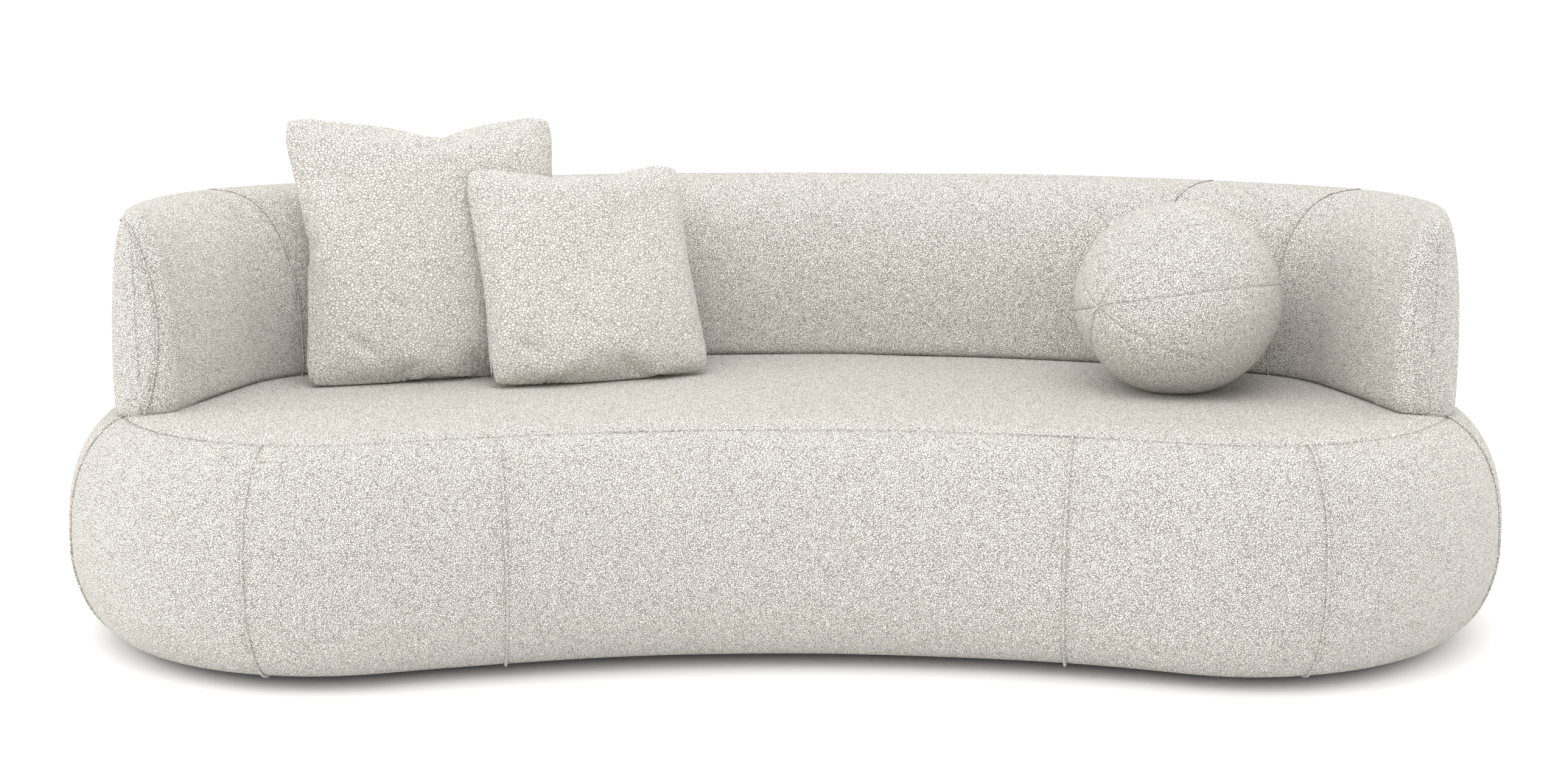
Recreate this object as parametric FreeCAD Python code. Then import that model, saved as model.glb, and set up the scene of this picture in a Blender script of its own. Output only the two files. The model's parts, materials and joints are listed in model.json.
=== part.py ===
import FreeCAD, Part
import math
import os

# A curved sofa in looped-pile fabric: a bean-shaped base with a tight seat, a crescent backrest that turns
# into two short arms, and three loose pillows. Millimetres. The origin is on the floor, under the middle of
# the base. X runs along the sofa, Y from the sitter's feet to the backrest, Z up.

# Driving dimensions of the base
overall_width = 2450.0
overall_depth = 1123.0
lobe_radius = 475.0
front_hollow_radius = 2017.0
underside_height = 17.0
widest_height = 169.0
seat_height = 398.0
bottom_inset = 80.0
bottom_squareness = 1.8
shoulder_inset = 160.0
shoulder_squareness = 2.4
seat_seam_inset = 96.0
front_seam_x = 435.0
lobe_seam_angles = (-80.0, -25.0, 50.0)

# Driving dimensions of the backrest
back_inset = 86.5
back_height = 724.0
back_foot_thickness = 228.0
back_inner_radius = 1944.0
back_bend_x = 847.0
back_bend_radius = 188.0
arm_angle = 70.9
arm_front_y = -255.0
arm_nose_length = 40.0
arm_nose_drop = 25.0
arm_nose_turns = (30.0, 52.0, 68.0, 80.0, 87.0)
arm_shares = (1 / 3, 2 / 3, 1.0)
back_belly = 20.5
back_belly_height = 430.0
back_tuck = 8.0
back_squareness = 2.8
crown_from_outside_center = 69.0
crown_from_outside_arm = 47.0
crown_blend = 1.4
back_foot_share = 0.85
outer_panel_width = 54.0
outer_panel_end_width = 20.0
back_arc_stations = 4
ring_seams = (((876.0, 36.5), 26.6), ((808.0, 279.5), 46.7))

# Upholstery layers
cover_thickness = 3.0
turn_under = 45.0
dust_cover_thickness = 1.0
welt_width = 5.0
welt_proud = 2.0
clearance = 0.4
foam_gap = 0.5
foam_fit = 0.2
seam_fit = 0.2
cut_margin = 1.0

# Base frame
rail_inset = 104.0
rail_thickness = 18.0
board_thickness = 15.0
rail_top = 290.0
cross_rail_count = 5
cross_rail_pitch = 380.0
cross_rail_height = 200.0
block_size = 40.0

# Seat springs
spring_count = 9
spring_pitch = 205.0
spring_wire = 4.0
spring_swing = 25.0
spring_bend_radius = 11.0
clip_size = (20.0, 10.0, 8.0)
spring_pad_thickness = 6.0

# Feet
foot_radius = 30.0
foot_inset = 210.0
foot_angles = (-95.0, -20.0, 45.0)
center_foot_y_inset = 210.0
foot_screw_radius = 2.5
foot_screw_length = 28.0
foot_screw_head_radius = 5.0
foot_screw_head_height = 3.0

# Backrest frame
post_depth = 45.0
post_width = 60.0
post_fit = 0.2
rear_post_x = (-512.0, -103.0, 103.0, 512.0)
arm_post_angles = (38.0, -6.0)
arm_front_post_angle = -19.0
arm_front_post_depth = 20.0
washer_gap = 0.3
back_board_thickness = 5.0
back_board_end_angle = -11.0
top_rail_thickness = 20.0
top_foam = 45.0
bolt_radius = 4.0
bolt_heights = (120.0, 230.0)
bolt_head_radius = 9.0
bolt_head_height = 4.0
washer_radius = 12.0
washer_thickness = 1.6
nut_radius = 7.5
nut_height = 6.5

# Pillows: size across, size up, thickness, drawn-in sides, middle of the bottom edge, turn and lean
large_pillow = dict(width=482.0, height=452.0, thickness=126.0, draw=26.0,
                    foot=(-600.0, 10.0), turn=20.0, lean=17.0)
small_pillow = dict(width=398.0, height=366.0, thickness=116.0, draw=22.0,
                    foot=(-320.0, -14.0), turn=20.0, lean=24.0)
pillow_edge = 10.0
pillow_cover_thickness = 2.5
ball_radius = 174.0
ball_height = 330.0
ball_center = (672.0, -80.0)
ball_flat_depth = 5.0
rest_gap = 0.3
pillow_sections = 8
pillow_fullness = (2.6, 0.6)
pillow_least_crown = 0.04

V = FreeCAD.Vector
UP = V(0, 0, 1)
os.makedirs("parts", exist_ok=True)

# Places worked out from the driving dimensions
lobe_x = overall_width / 2 - lobe_radius
lobe_y = lobe_radius - overall_depth / 2
rear_y = overall_depth / 2
front_center_y = lobe_y - math.sqrt((front_hollow_radius + lobe_radius) ** 2 - lobe_x ** 2)
floor_board_bottom = underside_height + cover_thickness
floor_board_top = floor_board_bottom + board_thickness
pad_bottom = rail_top + clip_size[2]
pad_top = pad_bottom + spring_pad_thickness
seat_foam_top = seat_height - cover_thickness
post_inset = rail_inset + rail_thickness
back_foot_z = widest_height + (seat_height - widest_height) * back_foot_share
frame_top = back_height - cover_thickness - top_foam
post_top = frame_top - top_rail_thickness


def tangent_rear_radius(radius, crown_y):
    """Radius of the rear arc that meets two lobes of the given radius and passes through crown_y."""
    reach = crown_y - lobe_y
    return (lobe_x ** 2 + reach ** 2 - radius ** 2) / (2 * (reach - radius))


rear_radius = tangent_rear_radius(lobe_radius, rear_y)
rear_center_y = rear_y - rear_radius
front_half_angle = math.degrees(math.atan2(lobe_x, lobe_y - front_center_y))
rear_half_angle = math.degrees(math.atan2(lobe_x, lobe_y - rear_center_y))
lobe_start = -90.0 - front_half_angle
lobe_end = 90.0 - rear_half_angle

# Each arc of the base's outline: its centre, its radius and which side of it the base lies on
FRONT = (V(0, front_center_y, 0), front_hollow_radius, 1)
REAR = (V(0, rear_center_y, 0), rear_radius, -1)
LOBE = (V(lobe_x, lobe_y, 0), lobe_radius, -1)


def save(name, *solids):
    """Write one sub-part, a single solid or a group of like solids."""
    shape = solids[0] if len(solids) == 1 else Part.makeCompound(list(solids))
    shape.exportStep("parts/%s.step" % name)
    print("%-28s %3d %12.0f %s" % (name, len(shape.Solids), shape.Volume, shape.isValid()))


def mirrored(shape):
    """The same shape on the sofa's other side."""
    return shape.mirror(V(0, 0, 0), V(1, 0, 0))


def fused(shapes):
    """One solid from several that meet."""
    whole = shapes[0].multiFuse(shapes[1:]) if len(shapes) > 1 else shapes[0]
    whole = whole.removeSplitter()
    return whole.Solids[0] if len(whole.Solids) == 1 else whole


def solids_of(shape):
    """The shape's solids, largest first."""
    return sorted(shape.Solids, key=lambda solid: -solid.Volume)


def arc_point(arc, inset, angle, z=0.0):
    """A point at an inset from one arc of the outline."""
    center, radius, side = arc
    reach = radius + side * inset
    a = math.radians(angle)
    return V(center.x + reach * math.cos(a), center.y + reach * math.sin(a), z)


def turned(arc, edges, start, stop):
    """Turn a closed profile of (inset, z) edges about an arc's centre, between two angles."""
    center, radius, side = arc
    place = FreeCAD.Matrix(side, 0, 0, radius, 0, 1, 0, 0, 0, 0, 1, 0, 0, 0, 0, 1)
    profile = Part.Wire(Part.sortEdges(edges)[0]).transformGeometry(place)
    face = Part.Face(profile)
    body = face.revolve(V(0, 0, 0), UP, stop - start)
    body.rotate(V(0, 0, 0), UP, start)
    body.translate(center)
    solid = Part.Solid(body.Shells[0]) if body.ShapeType != "Solid" else body
    if solid.Volume < 0:
        solid.reverse()
    return solid


def polygon(*points):
    """Straight edges round a closed outline of (inset, z) points."""
    corners = [V(x, 0, z) for x, z in points]
    return [Part.makeLine(a, b) for a, b in zip(corners, corners[1:] + corners[:1])]


def block(arc, inset_range, z_range, start, stop):
    """A plain curved block along an arc."""
    (i0, i1), (z0, z1) = inset_range, z_range
    return turned(arc, polygon((i0, z0), (i1, z0), (i1, z1), (i0, z1)), start, stop)


def round_corner(center, half, squareness, first=0.0, last=90.0, steps=10):
    """A squared ellipse quarter in (inset, z): first and last are its angles from the side to the top."""
    points = []
    for k in range(steps + 1):
        a = math.radians(first + (last - first) * k / steps)
        reach = abs(math.cos(a)) ** (2 / squareness) * half[0]
        rise = abs(math.sin(a)) ** (2 / squareness) * half[1]
        points.append(V(center[0] - reach, 0, center[1] + rise))
    curve = Part.BSplineCurve()
    curve.interpolate(points)
    return curve.toShape(), points[0], points[-1]


def shoulder_curve(depth, first=0.0, last=90.0):
    """The base's side above its widest line, at a depth under the surface."""
    half = (shoulder_inset - depth, seat_height - widest_height - depth)
    return round_corner((shoulder_inset, widest_height), half, shoulder_squareness, first, last)


def tuck_curve(depth):
    """The base's side below its widest line, at a depth under the surface."""
    half = (bottom_inset - depth, -(widest_height - underside_height - depth))
    return round_corner((bottom_inset, widest_height), half, bottom_squareness)


def shoulder_angle(inset, depth):
    """The angle along the shoulder curve where it reaches an inset."""
    share = (shoulder_inset - inset) / (shoulder_inset - depth)
    return math.degrees(math.acos(share ** (shoulder_squareness / 2)))


def line(a, b):
    """A straight edge between two vectors."""
    return Part.makeLine(a, b)


def bean_face(inset, z):
    """The base's plan outline at an inset, as a flat face."""
    left_start = 180.0 - lobe_end
    left_end = 180.0 - lobe_start
    left = (V(-lobe_x, lobe_y, 0), lobe_radius, -1)
    spans = ((FRONT, 90.0 + front_half_angle, 90.0 - front_half_angle), (LOBE, lobe_start, lobe_end),
             (REAR, 90.0 - rear_half_angle, 90.0 + rear_half_angle), (left, left_start, left_end))
    edges = []
    for arc, start, stop in spans:
        ends = [arc_point(arc, inset, angle, z) for angle in (start, (start + stop) / 2, stop)]
        edges.append(Part.Arc(*ends).toShape())
    return Part.Face(Part.Wire(edges))


def bean(inset, bottom, top):
    """A flat plate with the base's plan."""
    return bean_face(inset, bottom).extrude(V(0, 0, top - bottom))


def all_round(edges):
    """Turn a profile all round the base's outline, as four solids that meet."""
    lobe = turned(LOBE, edges, lobe_start, lobe_end)
    front = turned(FRONT, edges, 90.0 - front_half_angle, 90.0 + front_half_angle)
    rear = turned(REAR, edges, 90.0 - rear_half_angle, 90.0 + rear_half_angle)
    return [lobe, front, mirrored(lobe), rear]


# Base covers: thin panels between the seams, from the turned-under hem up to the seat seam
def side_cover_profile(proud=0.0):
    """The side cover's section; proud lifts the outside, for a welt."""
    outer_end = shoulder_angle(seat_seam_inset, -proud)
    inner_end = shoulder_angle(seat_seam_inset, cover_thickness)
    outer_up, outer_side, outer_top = shoulder_curve(-proud, 0.0, outer_end)
    inner_up, inner_side, inner_top = shoulder_curve(cover_thickness, 0.0, inner_end)
    outer_down, _, outer_low = tuck_curve(-proud)
    inner_down, _, inner_low = tuck_curve(cover_thickness)
    hem_low = V(bottom_inset + turn_under, 0, outer_low.z)
    hem_high = V(bottom_inset + turn_under, 0, inner_low.z)
    return [outer_up, outer_down, line(outer_low, hem_low), line(hem_low, hem_high),
            line(hem_high, inner_low), inner_down, inner_up, line(inner_top, outer_top)]


def seam_half_angle(arc):
    """Half a welt's width as an angle about an arc's centre."""
    return math.degrees(welt_width / 2 / arc[1])


front_seam = math.degrees(math.asin(front_seam_x / front_hollow_radius))
lobe_gap = seam_half_angle(LOBE)
front_gap = seam_half_angle(FRONT)
side_profile = side_cover_profile()
first_seam, second_seam, third_seam = lobe_seam_angles
front_center_cover = turned(FRONT, side_profile, 90 - front_seam + front_gap, 90 + front_seam - front_gap)
right_front_cover = fused([
    turned(FRONT, side_profile, 90 - front_half_angle, 90 - front_seam - front_gap),
    turned(LOBE, side_profile, lobe_start, first_seam - lobe_gap)])
right_end_cover = turned(LOBE, side_profile, first_seam + lobe_gap, second_seam - lobe_gap)
right_side_cover = turned(LOBE, side_profile, second_seam + lobe_gap, third_seam - lobe_gap)
right_rear_strip = turned(LOBE, side_profile, third_seam + lobe_gap, lobe_end)
rear_cover = fused([right_rear_strip, mirrored(right_rear_strip),
                    turned(REAR, side_profile, 90 - rear_half_angle, 90 + rear_half_angle)])
welt_profile = side_cover_profile(welt_proud)
right_welts = [turned(FRONT, welt_profile, 90 - front_seam - front_gap, 90 - front_seam + front_gap)]
for seam in lobe_seam_angles:
    right_welts.append(turned(LOBE, welt_profile, seam - lobe_gap, seam + lobe_gap))
base_welts = right_welts + [mirrored(welt) for welt in right_welts]


def welt_spaces():
    """The room that each base welt needs in whatever lies against it."""
    profile = side_cover_profile(welt_proud + clearance)
    margin = 1 + clearance / welt_width * 2
    half = front_gap * margin
    spaces = [turned(FRONT, profile, 90 - front_seam - half, 90 - front_seam + half)]
    for seam in lobe_seam_angles:
        spaces.append(turned(LOBE, profile, seam - lobe_gap * margin, seam + lobe_gap * margin))
    return Part.makeCompound(spaces + [mirrored(space) for space in spaces])


welt_space = welt_spaces()

# Seat cover: the flat top and the shoulder down to the seat seam
flat_inset = shoulder_inset + cover_thickness


def seat_layer_profile(depth, bottom):
    """A seat layer's edge, from the seam inwards; without a bottom it is one cover deep."""
    start = shoulder_angle(seat_seam_inset + seam_fit if bottom is None else rail_inset, depth)
    top, edge, crest = shoulder_curve(depth, start, 90.0)
    inner_high = V(flat_inset, 0, crest.z)
    if bottom is None:
        low_start = shoulder_angle(seat_seam_inset + seam_fit, depth + cover_thickness)
        under, under_edge, under_crest = shoulder_curve(depth + cover_thickness, low_start, 90.0)
        inner_low = V(flat_inset, 0, under_crest.z)
        return [top, line(crest, inner_high), line(inner_high, inner_low), line(inner_low, under_crest),
                under, line(under_edge, edge)]
    inner_low = V(flat_inset, 0, bottom)
    outer_low = V(edge.x, 0, bottom)
    return [top, line(crest, inner_high), line(inner_high, inner_low), line(inner_low, outer_low),
            line(outer_low, edge)]


seat_cover = fused(all_round(seat_layer_profile(0.0, None)) + [bean(flat_inset, seat_foam_top, seat_height)])
seat_foam = fused(all_round(seat_layer_profile(cover_thickness, pad_top))
                  + [bean(flat_inset, pad_top, seat_foam_top)])
spring_pad = bean(rail_inset, pad_bottom, pad_top)


# Side foam: what fills the bulge between the cover and the rails
def side_foam_profile():
    """The bulge's section, from the floor board's edge up to the seat seam."""
    depth = cover_thickness + foam_fit
    end = shoulder_angle(rail_inset, depth)
    up, _, top = shoulder_curve(depth, 0.0, end)
    down, _, low = tuck_curve(depth)
    inner_low = V(rail_inset, 0, low.z)
    return [up, down, line(low, inner_low), line(inner_low, top)]


foam_profile = side_foam_profile()
front_foam = turned(FRONT, foam_profile, 90 - front_half_angle, 90 + front_half_angle)
rear_foam = turned(REAR, foam_profile, 90 - rear_half_angle, 90 + rear_half_angle)
right_front_foam = turned(LOBE, foam_profile, lobe_start, second_seam)
right_end_foam = turned(LOBE, foam_profile, second_seam, lobe_end)

# Base frame: floor board, curved rails, cross rails and corner blocks
rail_span = (rail_inset, post_inset)
rail_z = (floor_board_top, rail_top)
floor_board = bean(rail_inset, floor_board_bottom, floor_board_top)
front_rail = block(FRONT, rail_span, rail_z, 90 - front_half_angle, 90 + front_half_angle)
rear_rail = block(REAR, rail_span, rail_z, 90 - rear_half_angle, 90 + rear_half_angle)
right_end_rail = block(LOBE, rail_span, rail_z, lobe_start, lobe_end)
inner_space = bean(post_inset, floor_board_top, rail_top)
cross_rails = []
for k in range(cross_rail_count):
    x = (k - (cross_rail_count - 1) / 2) * cross_rail_pitch
    plank = Part.makeBox(rail_thickness, overall_depth, cross_rail_height,
                         V(x - rail_thickness / 2, -overall_depth / 2, floor_board_top))
    cross_rails.append(plank.common(inner_space).Solids[0])
corner_blocks = []
for rail in cross_rails:
    box = rail.BoundBox
    block_height = cross_rail_height / 2
    for side in (-1, 1):
        face_x = box.Center.x + side * rail_thickness / 2
        low_x = face_x if side > 0 else face_x - block_size
        for y in (box.YMin - block_size, box.YMax - block_size):
            cube = Part.makeBox(block_size, 2 * block_size, block_height, V(low_x, y, floor_board_top))
            corner_blocks.append(cube.common(inner_space).Solids[0])

# Feet: round glides screwed up into the floor board
foot_places = [arc_point(LOBE, foot_inset, angle) for angle in foot_angles]
foot_places += [V(-p.x, p.y, 0) for p in foot_places]
foot_places += [arc_point(FRONT, center_foot_y_inset, 90), arc_point(REAR, center_foot_y_inset, 90)]
feet = []
foot_screws = []
foot_bores = []
for p in foot_places:
    foot = Part.makeCylinder(foot_radius, floor_board_bottom, p)
    recess = Part.makeCylinder(foot_screw_head_radius + clearance, foot_screw_head_height + clearance, p)
    bore = Part.makeCylinder(foot_screw_radius, floor_board_bottom, p)
    feet.append(foot.cut(recess).cut(bore).Solids[0])
    head_z = clearance
    head = Part.makeCylinder(foot_screw_head_radius, foot_screw_head_height, p + V(0, 0, head_z))
    shank = Part.makeCylinder(foot_screw_radius, foot_screw_length, p + V(0, 0, head_z))
    foot_screws.append(head.fuse(shank).removeSplitter().Solids[0])
    foot_bores.append(Part.makeCylinder(foot_screw_radius, head_z + foot_screw_length, p))
floor_board = floor_board.cut(Part.makeCompound(foot_bores)).Solids[0]
dust_cover = bean(bottom_inset + turn_under / 2, underside_height - dust_cover_thickness, underside_height)
foot_holes = [Part.makeCylinder(foot_radius + clearance, underside_height, p) for p in foot_places]
dust_cover = dust_cover.cut(Part.makeCompound(foot_holes)).cut(welt_space)
dust_cover = solids_of(dust_cover)[0]


# Seat springs: zigzag wires held in clips on the front and rear rails
def outline_y(x, inset, rear):
    """The Y of the inset outline above or below a point on the X axis."""
    arc = REAR if rear else FRONT
    center, radius, side = arc
    reach = radius + side * inset
    limit = abs(arc_point(arc, inset, 90 - (rear_half_angle if rear else front_half_angle)).x)
    if abs(x) <= limit:
        return center.y + math.sqrt(reach ** 2 - x ** 2)
    bend = math.sqrt((lobe_radius - inset) ** 2 - (abs(x) - lobe_x) ** 2)
    return lobe_y + (bend if rear else -bend)


def zigzag_spring(x, y0, y1, z):
    """A flat sinuous spring from y0 to y1: cross bars joined by half-circle bends."""
    bars = int((y1 - y0) / (2 * spring_bend_radius))
    bars -= bars % 2
    pitch = (y1 - y0) / bars
    bend = pitch / 2
    reach = spring_swing - bend
    edges = []
    for k in range(bars + 1):
        y = y0 + k * pitch
        side = 1 if k % 2 == 0 else -1
        edges.append(line(V(x - side * reach, y, z), V(x + side * reach, y, z)))
        if k < bars:
            middle = V(x + side * (reach + bend), y + bend, z)
            ends = [V(x + side * reach, end_y, z) for end_y in (y, y + pitch)]
            edges.append(Part.Arc(ends[0], middle, ends[1]).toShape())
    path = Part.Wire(edges)
    start = V(x - reach, y0, z)
    ring = Part.Wire(Part.makeCircle(spring_wire / 2, start, V(1, 0, 0)))
    return path.makePipeShell([ring], True, False)


springs = []
clips = []
clip_inset = rail_inset + rail_thickness / 2
for k in range(spring_count):
    x = (k - (spring_count - 1) / 2) * spring_pitch
    wire_z = rail_top + clip_size[2] / 2
    ends = [outline_y(x, clip_inset, rear) for rear in (False, True)]
    springs.append(zigzag_spring(x, ends[0], ends[1], wire_z))
    for y in ends:
        corner = V(x - clip_size[0] / 2, y - clip_size[1] / 2, rail_top)
        start = V(corner.x, y, wire_z)
        tunnel = Part.makeCylinder((spring_wire + clearance) / 2, clip_size[0], start, V(1, 0, 0))
        clips.append(Part.makeBox(*clip_size, corner).cut(tunnel).Solids[0])


# Backrest frame: posts bolted inside the rails, two bent boards and a top rail
def arc_angle_width(arc, inset, width):
    """Half of a width as an angle at an inset."""
    return math.degrees(width / 2 / (arc[1] + arc[2] * inset))


def post(arc, angle, depth, top):
    """An upright that stands on the floor board, between a rail or board and the next one, and under a top."""
    half = arc_angle_width(arc, post_inset, post_width)
    span = (post_inset + post_fit, post_inset + depth - post_fit)
    return block(arc, span, (floor_board_top, top - post_fit), angle - half, angle + half)


rear_post_angles = [90 - math.degrees(math.asin(x / rear_radius)) for x in rear_post_x]
post_places = [(REAR, angle) for angle in rear_post_angles] + [(LOBE, angle) for angle in arm_post_angles]
board_outside = (post_inset - back_board_thickness, post_inset)
board_inside = (post_inset + post_depth, post_inset + post_depth + back_board_thickness)
board_z = (seat_height + clearance, post_top)


def frame_band(inset_range, z_range):
    """A curved board along the whole backrest frame."""
    right = block(LOBE, inset_range, z_range, back_board_end_angle, lobe_end)
    middle = block(REAR, inset_range, z_range, 90 - rear_half_angle, 90 + rear_half_angle)
    return fused([right, middle, mirrored(right)])


back_outer_board = frame_band(board_outside, board_z)
back_inner_board = frame_band(board_inside, board_z)
back_top_rail = frame_band((board_outside[0], board_inside[1]), (post_top, frame_top))
back_cavity = frame_band((board_outside[0], board_inside[1]), (board_z[0] - 2 * foam_gap, frame_top))


def radial_rod(arc, angle, z, inset, length, radius):
    """A round rod that points from the outside of the base inwards."""
    a = math.radians(angle)
    inward = V(-math.cos(a), -math.sin(a), 0)
    return Part.makeCylinder(radius, length, arc_point(arc, inset, angle, z), inward)


def hexagon_nut(arc, angle, z, inset):
    """A hexagon nut on a radial bolt."""
    a = math.radians(angle)
    inward = V(-math.cos(a), -math.sin(a), 0)
    center = arc_point(arc, inset, angle, z)
    across = V(-inward.y, inward.x, 0)
    corners = []
    for k in range(6):
        t = math.radians(60 * k)
        corners.append(center + across * (nut_radius * math.cos(t)) + UP * (nut_radius * math.sin(t)))
    nut = Part.Face(Part.makePolygon(corners + corners[:1])).extrude(inward * nut_height)
    bore = radial_rod(arc, angle, z, inset - cut_margin, nut_height + 2 * cut_margin, bolt_radius)
    return nut.cut(bore).Solids[0]


bolts = []
washers = []
nuts = []
bolt_bores = []
head_pockets = []
for arc, angle in post_places:
    for z in bolt_heights:
        inner_face = post_inset + post_depth
        washer_face = inner_face + washer_gap
        length = washer_face - rail_inset + washer_thickness + nut_height
        shank = radial_rod(arc, angle, z, rail_inset, length, bolt_radius)
        head = radial_rod(arc, angle, z, rail_inset - bolt_head_height, bolt_head_height, bolt_head_radius)
        bolt = head.fuse(shank).removeSplitter().Solids[0]
        disc = radial_rod(arc, angle, z, washer_face, washer_thickness, washer_radius)
        washer = disc.cut(shank).Solids[0]
        nut = hexagon_nut(arc, angle, z, washer_face + washer_thickness)
        depth = inner_face - rail_inset + 2 * cut_margin
        bore = radial_rod(arc, angle, z, rail_inset - cut_margin, depth, bolt_radius)
        pocket = radial_rod(arc, angle, z, rail_inset - bolt_head_height, bolt_head_height, bolt_head_radius)
        for group, piece in ((bolts, bolt), (washers, washer), (nuts, nut), (bolt_bores, bore),
                             (head_pockets, pocket)):
            group.append(piece)
            if arc is LOBE:
                group.append(mirrored(piece))
bores = Part.makeCompound(bolt_bores)
pockets = Part.makeCompound(head_pockets)
posts = [post(arc, angle, post_depth, post_top) for arc, angle in post_places]
posts += [mirrored(upright) for (arc, _), upright in zip(post_places, posts) if arc is LOBE]
posts = [upright.cut(bores).Solids[0] for upright in posts]
arm_front_post = post(LOBE, arm_front_post_angle, arm_front_post_depth, post_top)
arm_front_posts = [arm_front_post, mirrored(arm_front_post)]
rear_rail = rear_rail.cut(bores).Solids[0]
right_end_rail = right_end_rail.cut(bores).Solids[0]
left_end_rail = mirrored(right_end_rail)
rear_foam = rear_foam.cut(pockets).Solids[0]
right_end_foam = right_end_foam.cut(pockets).Solids[0]
left_end_foam = mirrored(right_end_foam)


# Openings for the posts through the seat's layers
def post_slot(arc, angle, depth):
    """The space a post needs on its way through the seat."""
    half = arc_angle_width(arc, post_inset, post_width + 2 * clearance)
    span = (post_inset - clearance, post_inset + depth + clearance)
    return block(arc, span, (pad_bottom - cut_margin, seat_height + cut_margin), angle - half, angle + half)


slots = [post_slot(arc, angle, post_depth) for arc, angle in post_places]
slots.append(post_slot(LOBE, arm_front_post_angle, arm_front_post_depth))
slots += [mirrored(slot) for slot in slots[len(rear_post_x):]]
slots = Part.makeCompound(slots)
seat_cover = seat_cover.cut(slots).Solids[0]
seat_foam = seat_foam.cut(slots).Solids[0]
spring_pad = spring_pad.cut(slots).Solids[0]

# Backrest: sections between the inner foot line and the outer face, lofted from arm to arm
back_outer_y = rear_y - back_inset
outer_lobe_radius = lobe_radius - back_inset
outer_rear_radius = rear_radius - back_inset
foot_center_y = back_outer_y - back_foot_thickness


# Where each curve of a section is given points, as turns of its quarter ellipses
section_angles = {"inner foot": (0, 45, 90), "inner face": (18, 36, 54, 70, 82, 90),
                  "outer face": (67, 45, 22, 0), "outer foot": (45, 90)}
section_angles = {part: [math.radians(a) for a in angles] for part, angles in section_angles.items()}


def foot_stations():
    """Points of the inner foot line on the right half, each with its outward direction in degrees."""
    bend_start = math.degrees(math.asin(back_bend_x / back_inner_radius))
    ring = V(0, foot_center_y - back_inner_radius, 0)
    stations = []
    for k in range(back_arc_stations + 1):
        a = bend_start * k / back_arc_stations
        out = V(math.sin(math.radians(a)), math.cos(math.radians(a)), 0)
        stations.append((ring + out * back_inner_radius, a))
    out = V(math.sin(math.radians(bend_start)), math.cos(math.radians(bend_start)), 0)
    elbow = stations[-1][0] - out * back_bend_radius
    for k in range(1, back_arc_stations + 1):
        a = bend_start + (arm_angle - bend_start) * k / back_arc_stations
        out = V(math.sin(math.radians(a)), math.cos(math.radians(a)), 0)
        stations.append((elbow + out * back_bend_radius, a))
    along = V(math.cos(math.radians(arm_angle)), -math.sin(math.radians(arm_angle)), 0)
    start = stations[-1][0]
    length = (start.y - arm_front_y) / -along.y
    for share in arm_shares:
        stations.append((start + along * (length * share), arm_angle))
    return stations


def outward(angle):
    """The outward direction at a station."""
    return V(math.sin(math.radians(angle)), math.cos(math.radians(angle)), 0)


def thickness_at(point, angle):
    """How far the outer face lies from a point of the foot line."""
    out = outward(angle)
    for center, radius, is_rear in ((V(0, rear_center_y, 0), outer_rear_radius, True),
                                    (V(lobe_x, lobe_y, 0), outer_lobe_radius, False)):
        d = point - center
        b = d.dot(out)
        reach = math.sqrt(b * b - d.dot(d) + radius * radius) - b
        hit = point + out * reach
        turn = math.degrees(math.atan2(hit.x, hit.y - rear_center_y))
        if not is_rear or turn <= rear_half_angle:
            return reach
    return reach


def arcs_through(points):
    """Arcs through each three points in a row."""
    return [Part.Arc(points[k], points[k + 1], points[k + 2]).toShape() for k in range(0, len(points) - 2, 2)]


def back_section(point, angle, depth, squeeze=1.0, drop=0.0):
    """One closed section of the backrest at a depth under its surface."""
    out = outward(angle)
    thickness = thickness_at(point, angle)
    share = min(1.0, (point.x / lobe_x / crown_blend) ** 2)
    crown_gap = crown_from_outside_center + (crown_from_outside_arm - crown_from_outside_center) * share
    crown = thickness - crown_gap
    rise = back_height - drop - back_belly_height - depth
    low = back_belly_height - back_foot_z
    places = []
    inner_half = crown + back_belly - depth
    outer_half = crown_gap - depth
    for t in section_angles["inner foot"]:
        flare = (1 - math.sin(t)) ** 2 * back_belly
        places.append((crown - inner_half + flare, back_foot_z + low * math.sin(t)))
    for t in section_angles["inner face"]:
        reach, lift = (side ** (2 / back_squareness) for side in (math.cos(t), math.sin(t)))
        places.append((crown - inner_half * reach, back_belly_height + rise * lift))
    for t in section_angles["outer face"]:
        places.append((crown + outer_half * math.cos(t), back_belly_height + rise * math.sin(t)))
    for t in section_angles["outer foot"]:
        tuck = (1 - math.cos(t)) * back_tuck
        places.append((crown + outer_half - tuck, back_belly_height - low * math.sin(t)))
    middle = (thickness - back_belly) / 2
    corners = []
    for offset, z in places:
        offset = middle + (offset - middle) * squeeze
        corners.append(point + out * offset + UP * z)
    return Part.Wire(arcs_through(corners) + [line(corners[-1], corners[0])])


def nose_stations(last, depth):
    """Places, widths and heights of the sections that close the arm's rounded end."""
    point, angle = last
    for turn in arm_nose_turns:
        t = math.radians(turn)
        forward = V(0, -(arm_nose_length - depth) * math.sin(t), 0)
        yield point + forward, angle, math.cos(t), arm_nose_drop * (1 - math.cos(t))


def back_sections(depth):
    """All sections on the right half, from the middle to the arm's end."""
    stations = foot_stations()
    sections = [back_section(point, angle, depth) for point, angle in stations]
    for point, angle, squeeze, drop in nose_stations(stations[-1], depth):
        sections.append(back_section_at_nose(stations[-1], point, depth, squeeze, drop))
    return sections


def back_section_at_nose(last, point, depth, squeeze, drop):
    """The last full section, moved forward and squeezed towards its middle."""
    section = back_section(last[0], last[1], depth, squeeze, drop)
    section.translate(point - last[0])
    return section


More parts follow.
